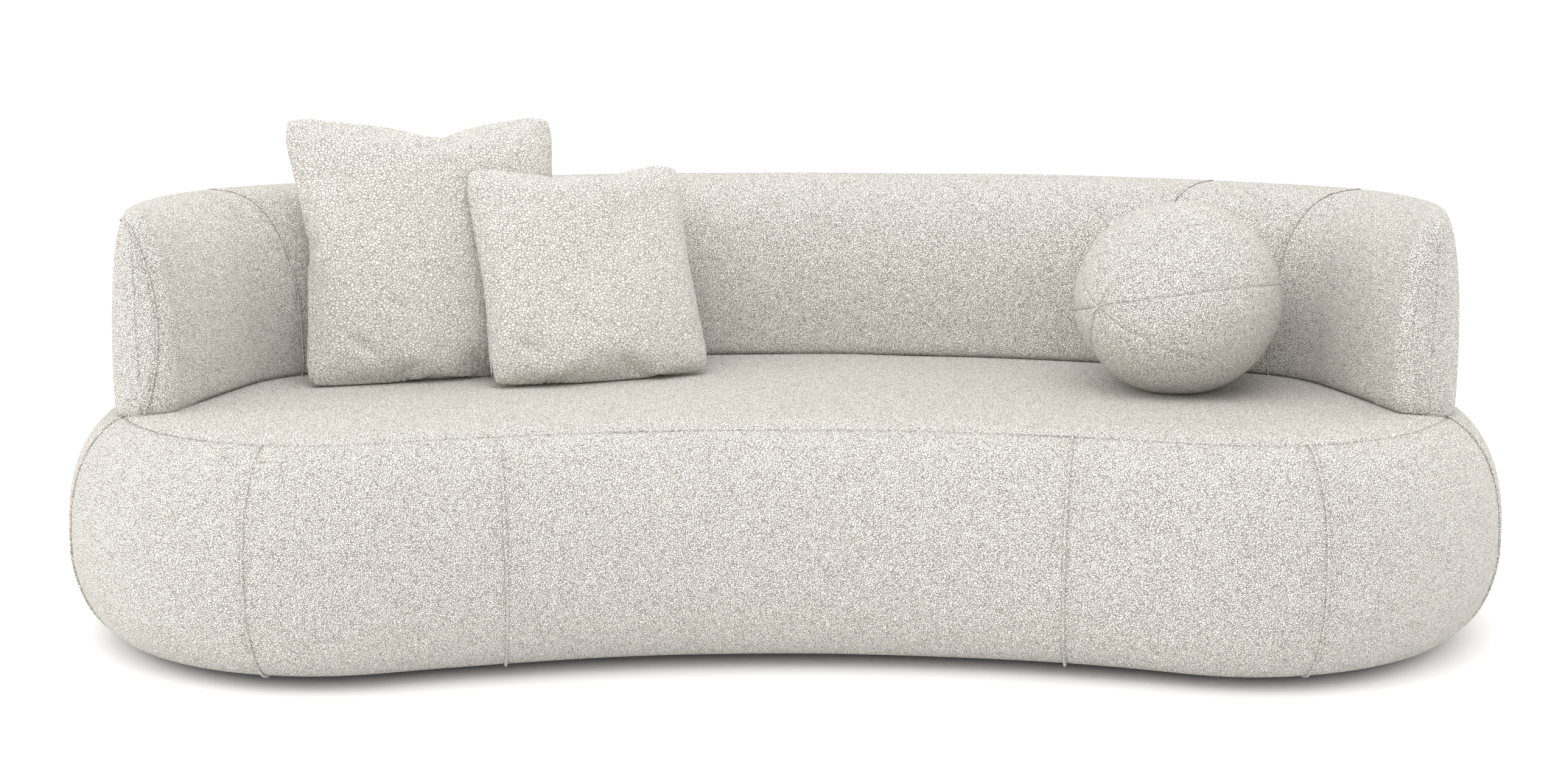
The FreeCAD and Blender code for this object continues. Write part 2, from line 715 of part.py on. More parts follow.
def back_form(depth):
    """The whole backrest at a depth under its surface."""
    right = back_sections(depth)
    left = [mirrored(section) for section in right[:0:-1]]
    return Part.makeLoft(left + right, True, False)


# The space over the base, cut out of everything that stands on it
shoulder_start = 30.0
over_curve, over_edge, over_crest = shoulder_curve(-clearance, shoulder_start, 90.0)
over_high = V(flat_inset, 0, over_crest.z)
over_low = V(flat_inset, 0, over_edge.z)
base_top = fused(all_round([over_curve, line(over_crest, over_high), line(over_high, over_low),
                            line(over_low, over_edge)]) + [bean(flat_inset, over_edge.z, over_crest.z)])


def seam_box(seam, before, after):
    """An upright box along a backrest seam: before is its reach towards the middle, after towards the arm."""
    (x, y), angle = seam
    length = back_foot_thickness * 2
    box = Part.makeBox(2 * length, before + after, back_height, V(-length, -after, 0))
    box.rotate(V(0, 0, 0), UP, angle)
    box.translate(V(x, y, back_foot_z / 2))
    return box


seam_slabs = [seam_box(seam, welt_width / 2, welt_width / 2) for seam in ring_seams]
seam_slabs += [mirrored(slab) for slab in seam_slabs]


def outer_panel_profile():
    """The space that the outer panel takes: a lens in section, widest half way up the arm's end."""
    outside, end = back_inset - outer_panel_width, back_inset + outer_panel_end_width
    bottom, top = back_foot_z, back_height
    low, high = V(end, 0, bottom), V(end, 0, top)
    bulge = V(back_inset + outer_panel_width, 0, (bottom + top) / 2)
    under, over = V(end, 0, bottom / 2), V(end, 0, top + bottom)
    outer_under, outer_over = V(outside, 0, under.z), V(outside, 0, over.z)
    return [line(outer_under, under), line(under, low), Part.Arc(low, bulge, high).toShape(),
            line(high, over), line(over, outer_over), line(outer_over, outer_under)]


outer_profile = outer_panel_profile()
outer_side = turned(LOBE, outer_profile, lobe_start, lobe_end)
outer_band = fused([outer_side, mirrored(outer_side),
                    turned(REAR, outer_profile, 90 - rear_half_angle, 90 + rear_half_angle)])
back_lining = back_form(cover_thickness)
back_shell = back_form(0.0).cut(back_lining).cut(base_top)
back_outer_cover = solids_of(back_shell.common(outer_band).cut(welt_space))[0]
inner_shell = back_shell.cut(outer_band)
inner_panels = solids_of(inner_shell.cut(Part.makeCompound(seam_slabs)))[:5]
inner_panels.sort(key=lambda panel: panel.CenterOfMass.x)
welt_shell = back_form(-welt_proud).cut(back_lining).cut(base_top).cut(outer_band)
back_welts = [solids_of(welt_shell.common(slab))[0] for slab in seam_slabs]

back_filling = back_lining.cut(base_top).cut(back_cavity).cut(slots).cut(welt_space)
arm_post_half = arc_angle_width(LOBE, post_inset, post_width)
arm_post_space = block(LOBE, (post_inset, post_inset + arm_front_post_depth), (back_foot_z, post_top),
                       arm_front_post_angle - arm_post_half, arm_front_post_angle + arm_post_half)
back_filling = back_filling.cut(Part.makeCompound([arm_post_space, mirrored(arm_post_space)]))
arm_side = seam_box(ring_seams[0], 0.0, 2 * back_foot_thickness)
right_arm_foam = solids_of(back_filling.common(arm_side))[0]
left_arm_foam = mirrored(right_arm_foam)
back_foam = solids_of(back_filling.cut(Part.makeCompound([arm_side, mirrored(arm_side)])))[0]


# Pillows
def pillow_form(size, depth):
    """A crowned square pillow in its own plane: X across, Y up, Z towards the sitter."""
    sections = []
    height = size["height"] - 2 * depth
    edge = pillow_edge - 2 * depth
    squareness, fullness = pillow_fullness
    for k in range(pillow_sections + 1):
        share = math.sin(math.pi * (k / pillow_sections - 1 / 2))
        y = depth + height * (1 + share) / 2
        half = size["width"] / 2 - depth - size["draw"] * (1 - share ** 2)
        swell = max(pillow_least_crown, 1 - abs(share) ** squareness) ** fullness
        crown = edge + (size["thickness"] - 2 * depth - edge) * swell
        corners = [V(-half, y, edge / 2), V(half, y, edge / 2), V(half, y, -edge / 2), V(-half, y, -edge / 2)]
        front = Part.Arc(corners[0], V(0, y, crown / 2), corners[1]).toShape()
        back = Part.Arc(corners[2], V(0, y, -crown / 2), corners[3]).toShape()
        sections.append(Part.Wire([front, line(corners[1], corners[2]), back, line(corners[3], corners[0])]))
    return Part.makeLoft(sections, True, False)


def placed_pillow(size):
    """The pillow's cover and filling, leaned back and seated on the seat."""
    turn, lean = math.radians(size["turn"]), math.radians(size["lean"])
    across = V(math.cos(turn), math.sin(turn), 0)
    back = V(-math.sin(turn), math.cos(turn), 0)
    up = UP * math.cos(lean) + back * math.sin(lean)
    front = across.cross(up)
    x, y = size["foot"]
    place = FreeCAD.Matrix(across.x, up.x, front.x, x, across.y, up.y, front.y, y,
                           across.z, up.z, front.z, 0, 0, 0, 0, 1)
    form = pillow_form(size, 0.0)
    filling = pillow_form(size, pillow_cover_thickness)
    cover = form.cut(filling).Solids[0]
    form.transformShape(place)
    lift = V(0, 0, seat_height + rest_gap - form.BoundBox.ZMin)
    for shape in (cover, filling):
        shape.transformShape(place)
        shape.translate(lift)
    return cover, filling


def ball_form(depth):
    """The round pillow, slightly squashed, with the flat that it rests on."""
    radius = ball_radius - depth
    half = ball_height / 2 - depth
    flat = math.degrees(math.asin((ball_height / 2 - ball_flat_depth - depth) / half))
    points = []
    steps = 8
    for k in range(steps + 1):
        t = math.radians(90 - (90 + flat) * k / steps)
        points.append(V(radius * math.cos(t), 0, half * math.sin(t)))
    low = V(0, 0, points[-1].z)
    edges = arcs_through(points) + [line(points[-1], low), line(low, points[0])]
    body = Part.Face(Part.Wire(edges)).revolve(V(0, 0, 0), UP, 360)
    x, y = ball_center
    body.translate(V(x, y, seat_height + rest_gap + ball_height / 2 - ball_flat_depth))
    return Part.Solid(body.Shells[0])


large_cover, large_filling = placed_pillow(large_pillow)
small_cover, small_filling = placed_pillow(small_pillow)
ball_filling = ball_form(pillow_cover_thickness)
ball_cover = ball_form(0.0).cut(ball_filling).Solids[0]

# Write every sub-part
save("floor_board", floor_board)
save("front_rail", front_rail)
save("rear_rail", rear_rail)
save("left_end_rail", left_end_rail)
save("right_end_rail", right_end_rail)
for k, rail in enumerate(cross_rails):
    save("cross_rail_%d" % (k + 1), rail)
save("corner_blocks", *corner_blocks)
save("feet", *feet)
save("foot_screws", *foot_screws)
save("dust_cover", dust_cover)
save("seat_springs", *springs)
save("spring_clips", *clips)
save("spring_pad", spring_pad)
save("seat_foam", seat_foam)
save("front_foam", front_foam)
save("rear_foam", rear_foam)
save("left_front_foam", mirrored(right_front_foam))
save("right_front_foam", right_front_foam)
save("left_end_foam", left_end_foam)
save("right_end_foam", right_end_foam)
save("seat_cover", seat_cover)
save("front_center_cover", front_center_cover)
save("left_front_cover", mirrored(right_front_cover))
save("right_front_cover", right_front_cover)
save("left_end_cover", mirrored(right_end_cover))
save("right_end_cover", right_end_cover)
save("left_side_cover", mirrored(right_side_cover))
save("right_side_cover", right_side_cover)
save("rear_cover", rear_cover)
save("base_seam_welts", *base_welts)
save("back_posts", *posts)
save("arm_front_posts", *arm_front_posts)
save("back_inner_board", back_inner_board)
save("back_outer_board", back_outer_board)
save("back_top_rail", back_top_rail)
save("frame_bolts", *bolts)
save("frame_washers", *washers)
save("frame_nuts", *nuts)
save("back_foam", back_foam)
save("left_arm_foam", left_arm_foam)
save("right_arm_foam", right_arm_foam)
panel_names = ("left_arm_cover", "left_shoulder_cover", "back_center_cover", "right_shoulder_cover",
               "right_arm_cover")
for name, panel in zip(panel_names, inner_panels):
    save(name, panel)
save("back_outer_cover", back_outer_cover)
save("back_seam_welts", *back_welts)
save("large_pillow_cover", large_cover)
save("large_pillow_filling", large_filling)
save("small_pillow_cover", small_cover)
save("small_pillow_filling", small_filling)
save("ball_pillow_cover", ball_cover)
save("ball_pillow_filling", ball_filling)
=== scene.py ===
import json
import math

import bpy
import numpy as np
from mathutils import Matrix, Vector
from mathutils.kdtree import KDTree


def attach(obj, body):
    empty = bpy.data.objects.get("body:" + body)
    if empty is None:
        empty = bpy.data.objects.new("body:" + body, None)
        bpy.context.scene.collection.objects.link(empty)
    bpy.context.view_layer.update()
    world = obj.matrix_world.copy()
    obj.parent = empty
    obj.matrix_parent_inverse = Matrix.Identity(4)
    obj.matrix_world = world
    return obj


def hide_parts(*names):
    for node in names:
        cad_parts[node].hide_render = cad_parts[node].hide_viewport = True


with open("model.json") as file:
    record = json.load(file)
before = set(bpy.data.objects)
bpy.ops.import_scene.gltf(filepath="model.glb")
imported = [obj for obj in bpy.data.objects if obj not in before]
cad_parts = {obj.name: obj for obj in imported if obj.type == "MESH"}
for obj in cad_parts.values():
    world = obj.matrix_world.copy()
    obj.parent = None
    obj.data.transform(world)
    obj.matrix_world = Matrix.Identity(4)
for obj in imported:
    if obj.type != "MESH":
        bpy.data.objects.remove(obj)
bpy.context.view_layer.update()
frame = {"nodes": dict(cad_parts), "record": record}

# Sizes are in millimetres, the same as the CAD model's, and become metres where a mesh is made.
MM = 0.001
WIDTH = 2450.0
DEPTH = 1123.0
LOBE_RADIUS = 475.0
HOLLOW_RADIUS = 2017.0
UNDERSIDE = 17.0
WIDEST = 169.0
SEAT = 398.0
BOTTOM_INSET = 80.0
BOTTOM_SQUARENESS = 1.8
SHOULDER_INSET = 160.0
SHOULDER_SQUARENESS = 2.4
SEAT_SEAM_INSET = 96.0
FRONT_SEAM_X = 435.0
LOBE_SEAM_ANGLES = (-80.0, -25.0, 50.0)
TURN_UNDER = 45.0
CLOTH = 3.0

BACK_INSET = 86.5
BACK_TOP = 724.0
BACK_THICKNESS = 228.0
BACK_RADIUS = 1944.0
BEND_X = 847.0
BEND_RADIUS = 188.0
ARM_ANGLE = 70.9
ARM_FRONT_Y = -255.0
NOSE_LENGTH = 40.0
NOSE_DROP = 25.0
BELLY = 20.5
BELLY_HEIGHT = 430.0
BACK_TUCK = 8.0
BACK_SQUARENESS = 2.8
CROWN_CENTER = 69.0
CROWN_ARM = 47.0
CROWN_BLEND = 1.4
BACK_FOOT = WIDEST + (SEAT - WIDEST) * 0.85
OUTER_PANEL = 54.0
OUTER_PANEL_END = 20.0
RING_SEAMS = (((876.0, 36.5), 26.6), ((808.0, 279.5), 46.7))

LOBE_X = WIDTH / 2 - LOBE_RADIUS
LOBE_Y = LOBE_RADIUS - DEPTH / 2
REAR_Y = DEPTH / 2
HOLLOW_Y = LOBE_Y - math.sqrt((HOLLOW_RADIUS + LOBE_RADIUS) ** 2 - LOBE_X ** 2)
REACH = REAR_Y - LOBE_Y
REAR_RADIUS = (LOBE_X ** 2 + REACH ** 2 - LOBE_RADIUS ** 2) / (2 * (REACH - LOBE_RADIUS))
REAR_CENTER_Y = REAR_Y - REAR_RADIUS
HOLLOW_HALF = math.atan2(LOBE_X, LOBE_Y - HOLLOW_Y)
REAR_HALF = math.atan2(LOBE_X, LOBE_Y - REAR_CENTER_Y)
LOBE_START = -math.pi / 2 - HOLLOW_HALF
LOBE_END = math.pi / 2 - REAR_HALF


# Meshes
def linear(hex_color):
    """An sRGB hex colour as the linear colour that sockets take."""
    channels = [int(hex_color[k:k + 2], 16) / 255 for k in (1, 3, 5)]
    return tuple(c / 12.92 if c <= 0.04045 else ((c + 0.055) / 1.055) ** 2.4 for c in channels) + (1.0,)


def mesh_object(name, points, faces, material):
    """A smooth mesh from points in millimetres."""
    mesh = bpy.data.meshes.new(name)
    mesh.from_pydata([tuple(p) for p in np.asarray(points) * MM], [], faces)
    mesh.materials.append(material)
    mesh.validate()
    mesh.shade_smooth()
    made = bpy.data.objects.new(name, mesh)
    bpy.context.scene.collection.objects.link(made)
    return made


def search_tree(points):
    """A tree that finds the points near a place."""
    tree = KDTree(len(points))
    for k, p in enumerate(points):
        tree.insert(p, k)
    tree.balance()
    return tree


def welded(points, faces, reach=0.05):
    """The same faces with points that coincide made one, and faces that collapse left out."""
    tree = search_tree(points)
    first = [min(k for _, k, _ in tree.find_range(p, reach)) for p in points]
    used = sorted(set(first))
    place = {old: new for new, old in enumerate(used)}
    kept = []
    for face in faces:
        corners = []
        for k in face:
            corner = place[first[k]]
            if corner not in corners:
                corners.append(corner)
        if len(corners) > 2:
            kept.append(corners)
    return np.asarray(points)[used], kept


def grid_faces(rows, columns, closed=False):
    """Quads between rows and columns of points; closed joins the last row to the first."""
    faces = []
    for r in range(rows if closed else rows - 1):
        here, following = r * columns, (r + 1) % rows * columns
        for c in range(columns - 1):
            faces.append([here + c, following + c, following + c + 1, here + c + 1])
    return faces


def cut(points, faces, field, snap=0.4):
    """Split the faces that a field's zero line crosses, so that the line runs along edges."""
    points = [np.asarray(p) for p in points]
    field = [0.0 if abs(f) < snap else float(f) for f in field]
    made = {}
    parts = []
    for face in faces:
        values = [field[k] for k in face]
        if min(values) >= 0 or max(values) <= 0:
            parts.append(face)
            continue
        sides = ([], [])
        for a, b in zip(face, face[1:] + face[:1]):
            for side, sign in zip(sides, (1, -1)):
                if field[a] * sign >= 0:
                    side.append(a)
            if field[a] * field[b] < 0:
                key = (min(a, b), max(a, b))
                if key not in made:
                    share = field[a] / (field[a] - field[b])
                    points.append(points[a] * (1 - share) + points[b] * share)
                    field.append(0.0)
                    made[key] = len(points) - 1
                for side in sides:
                    side.append(made[key])
        parts += [side for side in sides if len(side) > 2]
    return np.array(points), parts, np.array(field)


def point_normals(points, faces):
    """Average outward normals of a mesh's points."""
    a, b, c, d = (points[[face[k % len(face)] for face in faces]] for k in range(4))
    directions = np.cross(b - a, c - a) + np.cross(c - a, d - a)
    normals = np.zeros_like(points)
    np.add.at(normals, np.concatenate(faces), np.repeat(directions, [len(face) for face in faces], axis=0))
    return normals / np.maximum(np.linalg.norm(normals, axis=1, keepdims=True), 1e-9)


def nearest(points, line, limit=60.0):
    """Distance from each point to a dense line of points, no more than a limit."""
    tree = search_tree(line)
    return np.array([min(tree.find(p)[2], limit) for p in points])


def dense(line, pitch=2.0):
    """The same line with points at a pitch."""
    line = np.asarray(line, float)
    steps = np.linalg.norm(np.diff(line, axis=0), axis=1)
    along = np.concatenate([[0.0], np.cumsum(steps)])
    samples = np.linspace(0, along[-1], max(2, int(along[-1] / pitch)))
    return np.stack([np.interp(samples, along, line[:, k]) for k in range(3)], axis=1)


def soft_noise(points, size, seed):
    """A smooth, repeatable unevenness between -1 and 1, from a few long waves."""
    rng = np.random.default_rng(seed)
    total = np.zeros(len(points))
    waves = 9
    for _ in range(waves):
        direction = rng.normal(size=3)
        direction /= np.linalg.norm(direction)
        pitch = size * rng.uniform(0.7, 1.6)
        total += np.sin(points @ direction * (2 * math.pi / pitch) + rng.uniform(0, 2 * math.pi))
    return total / math.sqrt(waves)


# Materials
MIDDLE = (0.5, 0.5, 0.5)


def add(tree, kind, inputs=(), **settings):
    """Add a node; an input is a node, meaning its first output, or an output's socket, or a plain value."""
    node = tree.nodes.new(kind)
    for name, value in settings.items():
        setattr(node, name, value)
    for name, value in dict(inputs).items():
        if isinstance(value, bpy.types.Node):
            tree.links.new(value.outputs[0], node.inputs[name])
        elif isinstance(value, bpy.types.NodeSocket):
            tree.links.new(value, node.inputs[name])
        else:
            node.inputs[name].default_value = value
    return node


def new_material(name):
    """An empty node material, its tree and its output node."""
    material = bpy.data.materials.new(name)
    material.use_nodes = True
    tree = material.node_tree
    tree.nodes.clear()
    return material, tree, add(tree, "ShaderNodeOutputMaterial")


def surfaced(tree, output, inputs):
    """Give a material's output a principled surface."""
    surface = add(tree, "ShaderNodeBsdfPrincipled", inputs)
    tree.links.new(surface.outputs["BSDF"], output.inputs["Surface"])


def two_tones(tree, share, low, high):
    """A ramp between two (position, hex colour) tones."""
    ramp = add(tree, "ShaderNodeValToRGB", {"Fac": share})
    for element, (position, tone) in zip(ramp.color_ramp.elements, (low, high)):
        element.position, element.color = position, linear(tone)
    return ramp


def boucle(name, crest, gap, loop_size, slant, gap_width, pile, patch):
    """Looped-pile cloth. Loops stand close together and lean one way; their crests take the crest colour and
    the fine gaps between them the darker gap colour, which is painted shade for the shadow between the loops;
    the wool is matt with a soft bright edge at grazing angles."""
    material, tree, output = new_material(name)
    place = add(tree, "ShaderNodeTexCoord").outputs["Object"]
    lean = (math.radians(14), math.radians(slant), math.radians(28))
    leaning = add(tree, "ShaderNodeMapping", {"Vector": place, "Rotation": lean})
    length, width = loop_size
    scaled = add(tree, "ShaderNodeVectorMath", {0: leaning, 1: (1 / length, 1 / width, 1 / width)},
                 operation="MULTIPLY")
    wander = add(tree, "ShaderNodeTexNoise", {"Vector": place, "Scale": 0.5 / length, "Detail": 2.0})
    bent = add(tree, "ShaderNodeVectorMath", {0: wander.outputs["Color"], 1: MIDDLE}, operation="SUBTRACT")
    strong = (2.2, 2.2, 2.2)
    moved = add(tree, "ShaderNodeVectorMath", {0: bent, 1: strong, 2: scaled}, operation="MULTIPLY_ADD")
    loops = add(tree, "ShaderNodeTexVoronoi", {"Vector": moved, "Scale": 1.0}, feature="DISTANCE_TO_EDGE")
    crests = add(tree, "ShaderNodeMapRange", {"Value": loops, "From Min": 0.0, "From Max": gap_width},
                 interpolation_type="SMOOTHSTEP")
    fibre = add(tree, "ShaderNodeTexNoise", {"Vector": moved, "Scale": 2.6, "Detail": 3.0, "Roughness": 0.6})
    clumps = add(tree, "ShaderNodeTexNoise", {"Vector": place, "Scale": 1 / patch, "Detail": 3.0,
                                              "Roughness": 0.6})
    height = add(tree, "ShaderNodeMath", {0: fibre, 1: 0.8, 2: crests}, operation="MULTIPLY_ADD")
    lifted = add(tree, "ShaderNodeMath", {0: clumps, 1: 1.6, 2: height}, operation="MULTIPLY_ADD")
    bump = add(tree, "ShaderNodeBump", {"Height": lifted, "Distance": pile, "Strength": 1.0})
    worn = add(tree, "ShaderNodeMapRange", {"Value": clumps, "From Min": 0.3, "From Max": 0.7,
                                            "To Min": -0.12, "To Max": 0.12})
    depth = add(tree, "ShaderNodeMath", {0: crests, 1: worn}, operation="ADD")
    # The ramp runs from the gap colour, painted shade in the gaps between loops, to the crest colour; the
    # worn patches shift it a little at random.
    color = two_tones(tree, depth, (0.0, gap), (0.75, crest))
    surfaced(tree, output, {"Base Color": color, "Roughness": 0.95, "IOR": 1.46, "Specular IOR Level": 0.2,
                            "Sheen Weight": 0.3, "Sheen Roughness": 0.6, "Sheen Tint": linear("#FFFCF6"),
                            "Normal": bump})
    return material


def grained(name, light, dark, grain, across, roughness, bump_depth):
    """Wood: long streaks along X, which a saw and a plane leave fine and matt."""
    material, tree, output = new_material(name)
    place = add(tree, "ShaderNodeTexCoord").outputs["Object"]
    along = add(tree, "ShaderNodeMapping", {"Vector": place, "Scale": (1 / grain, 1 / across, 1 / across)})
    streaks = add(tree, "ShaderNodeTexNoise", {"Vector": along, "Scale": 1.0, "Detail": 5.0,
                                               "Distortion": 0.4})
    bump = add(tree, "ShaderNodeBump", {"Height": streaks, "Distance": bump_depth})
    surfaced(tree, output, {"Base Color": two_tones(tree, streaks, (0.32, dark), (0.66, light)),
                            "Roughness": roughness, "IOR": 1.5, "Normal": bump})
    return material


def speckled(name, low, high, grain, roughness, metallic, bump_depth, sheen=0.0):
    """A fine even grain of two close tones, for plastic, drawn wire, foam cells and non-woven cloth."""
    material, tree, output = new_material(name)
    place = add(tree, "ShaderNodeTexCoord").outputs["Object"]
    spots = add(tree, "ShaderNodeTexNoise", {"Vector": place, "Scale": 1 / grain, "Detail": 4.0,
                                             "Roughness": 0.6})
    rough = add(tree, "ShaderNodeMapRange", {"Value": spots, "To Min": roughness - 0.08,
                                             "To Max": roughness + 0.08})
    bump = add(tree, "ShaderNodeBump", {"Height": spots, "Distance": bump_depth})
    color = two_tones(tree, spots, (0.35, low), (0.65, high))
    surfaced(tree, output, {"Base Color": color, "Roughness": rough, "Metallic": metallic,
                            "Sheen Weight": sheen, "Normal": bump})
    return material


# Wool and acrylic loops, 4.4 mm long on the sofa and the ball, rounder 5.6 mm ones on the square pillows.
# The second colour of each is the gap colour: painted shade, darker than the wool, for the shadow between the
# loops.
sofa_boucle = boucle("looped wool boucle", "#F9F5ED", "#918C83", (0.0044, 0.0026), -32, 0.19, 0.0016, 0.012)
teddy_boucle = boucle("teddy loop boucle", "#D6D2CB", "#96918A", (0.0056, 0.0046), -24, 0.15, 0.0009, 0.022)
NODE_MATERIALS = {
    # Rotary-cut birch plywood, sanded: pale with broad soft figure.
    "plywood": grained("birch plywood", "#DCC39A", "#C2A173", 0.16, 0.011, 0.62, 0.0002),
    # Planed softwood: straight close grain.
    "timber": grained("planed pine", "#D9BE8D", "#B8935C", 0.22, 0.006, 0.58, 0.0003),
    # Injection-moulded polypropylene with a fine spark-eroded texture.
    "black_plastic": speckled("moulded polypropylene", "#0B0B0B", "#161616", 0.0012, 0.5, 0.0, 0.0001),
    # Oiled hard-drawn spring wire: dark, slightly blued steel.
    "spring_steel": speckled("hard-drawn spring steel", "#4B4C4F", "#66686B", 0.002, 0.34, 1.0, 0.00005),
    # Bright zinc plate: pale steel with a faint crystal mottling.
    "zinc_steel": speckled("zinc-plated steel", "#A9ADB2", "#C3C7CB", 0.004, 0.3, 1.0, 0.00005),
    # Open-cell polyurethane foam, cream with small round cells.
    "foam": speckled("polyurethane foam", "#E3D8B0", "#F0E8C8", 0.0016, 0.9, 0.0, 0.0006),
    # Needled felt of mixed grey fibres.
    "felt_pad": speckled("needled felt", "#6A655F", "#8C867E", 0.0022, 0.95, 0.0, 0.0005, 0.2),
    # Spun-bonded polypropylene cloth, black with bonded dots.
    "dust_cloth": speckled("spun-bonded dust cloth", "#141414", "#222222", 0.0015, 0.85, 0.0, 0.0002, 0.15),
    # Polyester fibre in a plain lining.
    "fibre_filling": speckled("polyester fibre lining", "#E6E5E1", "#F2F1EE", 0.003, 0.9, 0.0, 0.0004, 0.2),
    "sofa_boucle": sofa_boucle,
    "teddy_boucle": teddy_boucle,
}
for part in frame["record"]["subparts"]:
    node_mesh = frame["nodes"][part["node"]].data
    node_mesh.materials.clear()
    node_mesh.materials.append(NODE_MATERIALS[part["material_slot"]])


# The base: profiles swept round the bean-shaped outline
HOLLOW_LENGTH = HOLLOW_RADIUS * HOLLOW_HALF
LOBE_LENGTH = LOBE_RADIUS * (LOBE_END - LOBE_START)
HALF_LENGTH = HOLLOW_LENGTH + LOBE_LENGTH + REAR_RADIUS * REAR_HALF


def outline_points(along, inset):
    """Plan points at distances along the outline (0 is the front's middle) and insets from it."""
    along = (np.asarray(along, float) + HALF_LENGTH) % (2 * HALF_LENGTH) - HALF_LENGTH
    side = np.where(along < 0, -1.0, 1.0)
    reach = np.abs(along)
    on_lobe = reach - HOLLOW_LENGTH
    on_rear = on_lobe - LOBE_LENGTH
    hollow_angle = math.pi / 2 - reach / HOLLOW_RADIUS
    lobe_angle = LOBE_START + on_lobe / LOBE_RADIUS
    rear_angle = LOBE_END + on_rear / REAR_RADIUS
    arcs = [on_lobe < 0, on_rear < 0]
    angle = np.select(arcs, [hollow_angle, lobe_angle], rear_angle)
    radius = np.select(arcs, [HOLLOW_RADIUS + inset, LOBE_RADIUS - inset], REAR_RADIUS - inset)
    center_x = np.select(arcs, [0.0 * reach, 0.0 * reach + LOBE_X], 0.0)
    center_y = np.select(arcs, [0.0 * reach + HOLLOW_Y, 0.0 * reach + LOBE_Y], REAR_CENTER_Y)
    return np.stack([side * (center_x + radius * np.cos(angle)), center_y + radius * np.sin(angle)], axis=-1)


def outline_inset(x, y):
    """How far plan points lie inside the outline."""
    x = np.abs(x)
    from_lobe = np.hypot(x - LOBE_X, y - LOBE_Y)
    angle = np.arctan2(y - LOBE_Y, x - LOBE_X)
    angle = np.where(angle > math.pi / 2, angle - 2 * math.pi, angle)
    in_lobe = (angle > LOBE_START) & (angle < LOBE_END)
    front = np.hypot(x, y - HOLLOW_Y) - HOLLOW_RADIUS
    rear = REAR_RADIUS - np.hypot(x, y - REAR_CENTER_Y)
    return np.where(in_lobe, LOBE_RADIUS - from_lobe, np.minimum(front, rear))


def lobe_along(degrees):
    """Distance along the outline of an angle on the right-hand lobe."""
    return HOLLOW_LENGTH + LOBE_RADIUS * (math.radians(degrees) - LOBE_START)


def tuck_point(angle):
    """(inset, z) on the side below its widest line."""
    return (BOTTOM_INSET - math.cos(angle) ** (2 / BOTTOM_SQUARENESS) * BOTTOM_INSET,
            WIDEST - math.sin(angle) ** (2 / BOTTOM_SQUARENESS) * (WIDEST - UNDERSIDE))


def shoulder_point(angle):
    """(inset, z) on the side above its widest line."""
    return (SHOULDER_INSET - max(0.0, math.cos(angle)) ** (2 / SHOULDER_SQUARENESS) * SHOULDER_INSET,
            WIDEST + math.sin(angle) ** (2 / SHOULDER_SQUARENESS) * (SEAT - WIDEST))


SEAM_TURN = math.acos(((SHOULDER_INSET - SEAT_SEAM_INSET) / SHOULDER_INSET) ** (SHOULDER_SQUARENESS / 2))
SEAT_SEAM_Z = shoulder_point(SEAM_TURN)[1]
PILLOW_PRINTS = (((-600.0, 10.0), 20.0, 215.0), ((-320.0, -14.0), 20.0, 175.0), ((672.0, -80.0), 0.0, 45.0))
SEAT_CROWN = 4.0
PRINT_REACH = (45.0, 150.0)


def smooth_step(value):
    """0 to 1 with soft ends."""
    share = np.clip(value, 0, 1)
    return share * share * (3 - 2 * share)


def seat_crown(x, y, inset):
    """How much the padded seat stands up between its edges; the pillows press it flat again."""
    crown = SEAT_CROWN * smooth_step((inset - SHOULDER_INSET + 20) / 170)
    for (cx, cy), turn, half in PILLOW_PRINTS:
        across = np.array([math.cos(math.radians(turn)), math.sin(math.radians(turn))])
        rel = np.stack([x - cx, y - cy], axis=-1)
        slide = np.clip(rel @ across, -half, half)
        gap = np.linalg.norm(rel - slide[..., None] * across, axis=-1)
        crown = crown * smooth_step((gap - PRINT_REACH[0]) / (PRINT_REACH[1] - PRINT_REACH[0]))
    return crown


def base_height(x, y):
    """The seat's surface height over plan points."""
    inset = outline_inset(x, y)
    share = np.clip((SHOULDER_INSET - inset) / SHOULDER_INSET, 0, 1)
    height = WIDEST + (SEAT - WIDEST) * (1 - share ** SHOULDER_SQUARENESS) ** (1 / SHOULDER_SQUARENESS)
    return height + seat_crown(x, y, inset)


def side_profile():
    """(inset, z) rows from the turned-under hem up to the seat seam."""
    hem = [(BOTTOM_INSET + TURN_UNDER * share, UNDERSIDE) for share in (1.0, 0.55, 0.2)]
    tuck = [tuck_point(a) for a in np.radians(np.linspace(90, 0, 26))]
    shoulder = [shoulder_point(SEAM_TURN * share) for share in np.linspace(0, 1, 22)[1:]]
    return np.array(hem + tuck + shoulder)


def swept(stations, profile):
    """A grid of points: a profile at each station along the outline."""
    rows = []
    for along in stations:
        plan = outline_points(np.full(len(profile), along), profile[:, 0])
        rows.append(np.column_stack([plan, profile[:, 1]]))
    return np.concatenate(rows)


def base_line(along, profile, lift=0.0):
    """A line up the base's side at one station, standing off it by a lift."""
    points = swept([along], profile)
    step = outline_points(np.array([along, along]), np.array([0.0, 1.0]))
    inward = np.append(step[1] - step[0], 0.0)
    slope = np.gradient(profile, axis=0)
    slope /= np.linalg.norm(slope, axis=1, keepdims=True)
    return points - (inward * slope[:, 1:2] - np.array([0, 0, 1.0]) * slope[:, 0:1]) * lift


DIP_DEPTH = 0.5
DIP_REACH = 6.0


def pressed_seams(points, faces, line, depth=DIP_DEPTH, reach=DIP_REACH):
    """Draw the surface in along a seam."""
    gap = nearest(points, dense(line))
    return points - point_normals(points, faces) * (depth * np.exp(-(gap / reach) ** 2))[:, None]


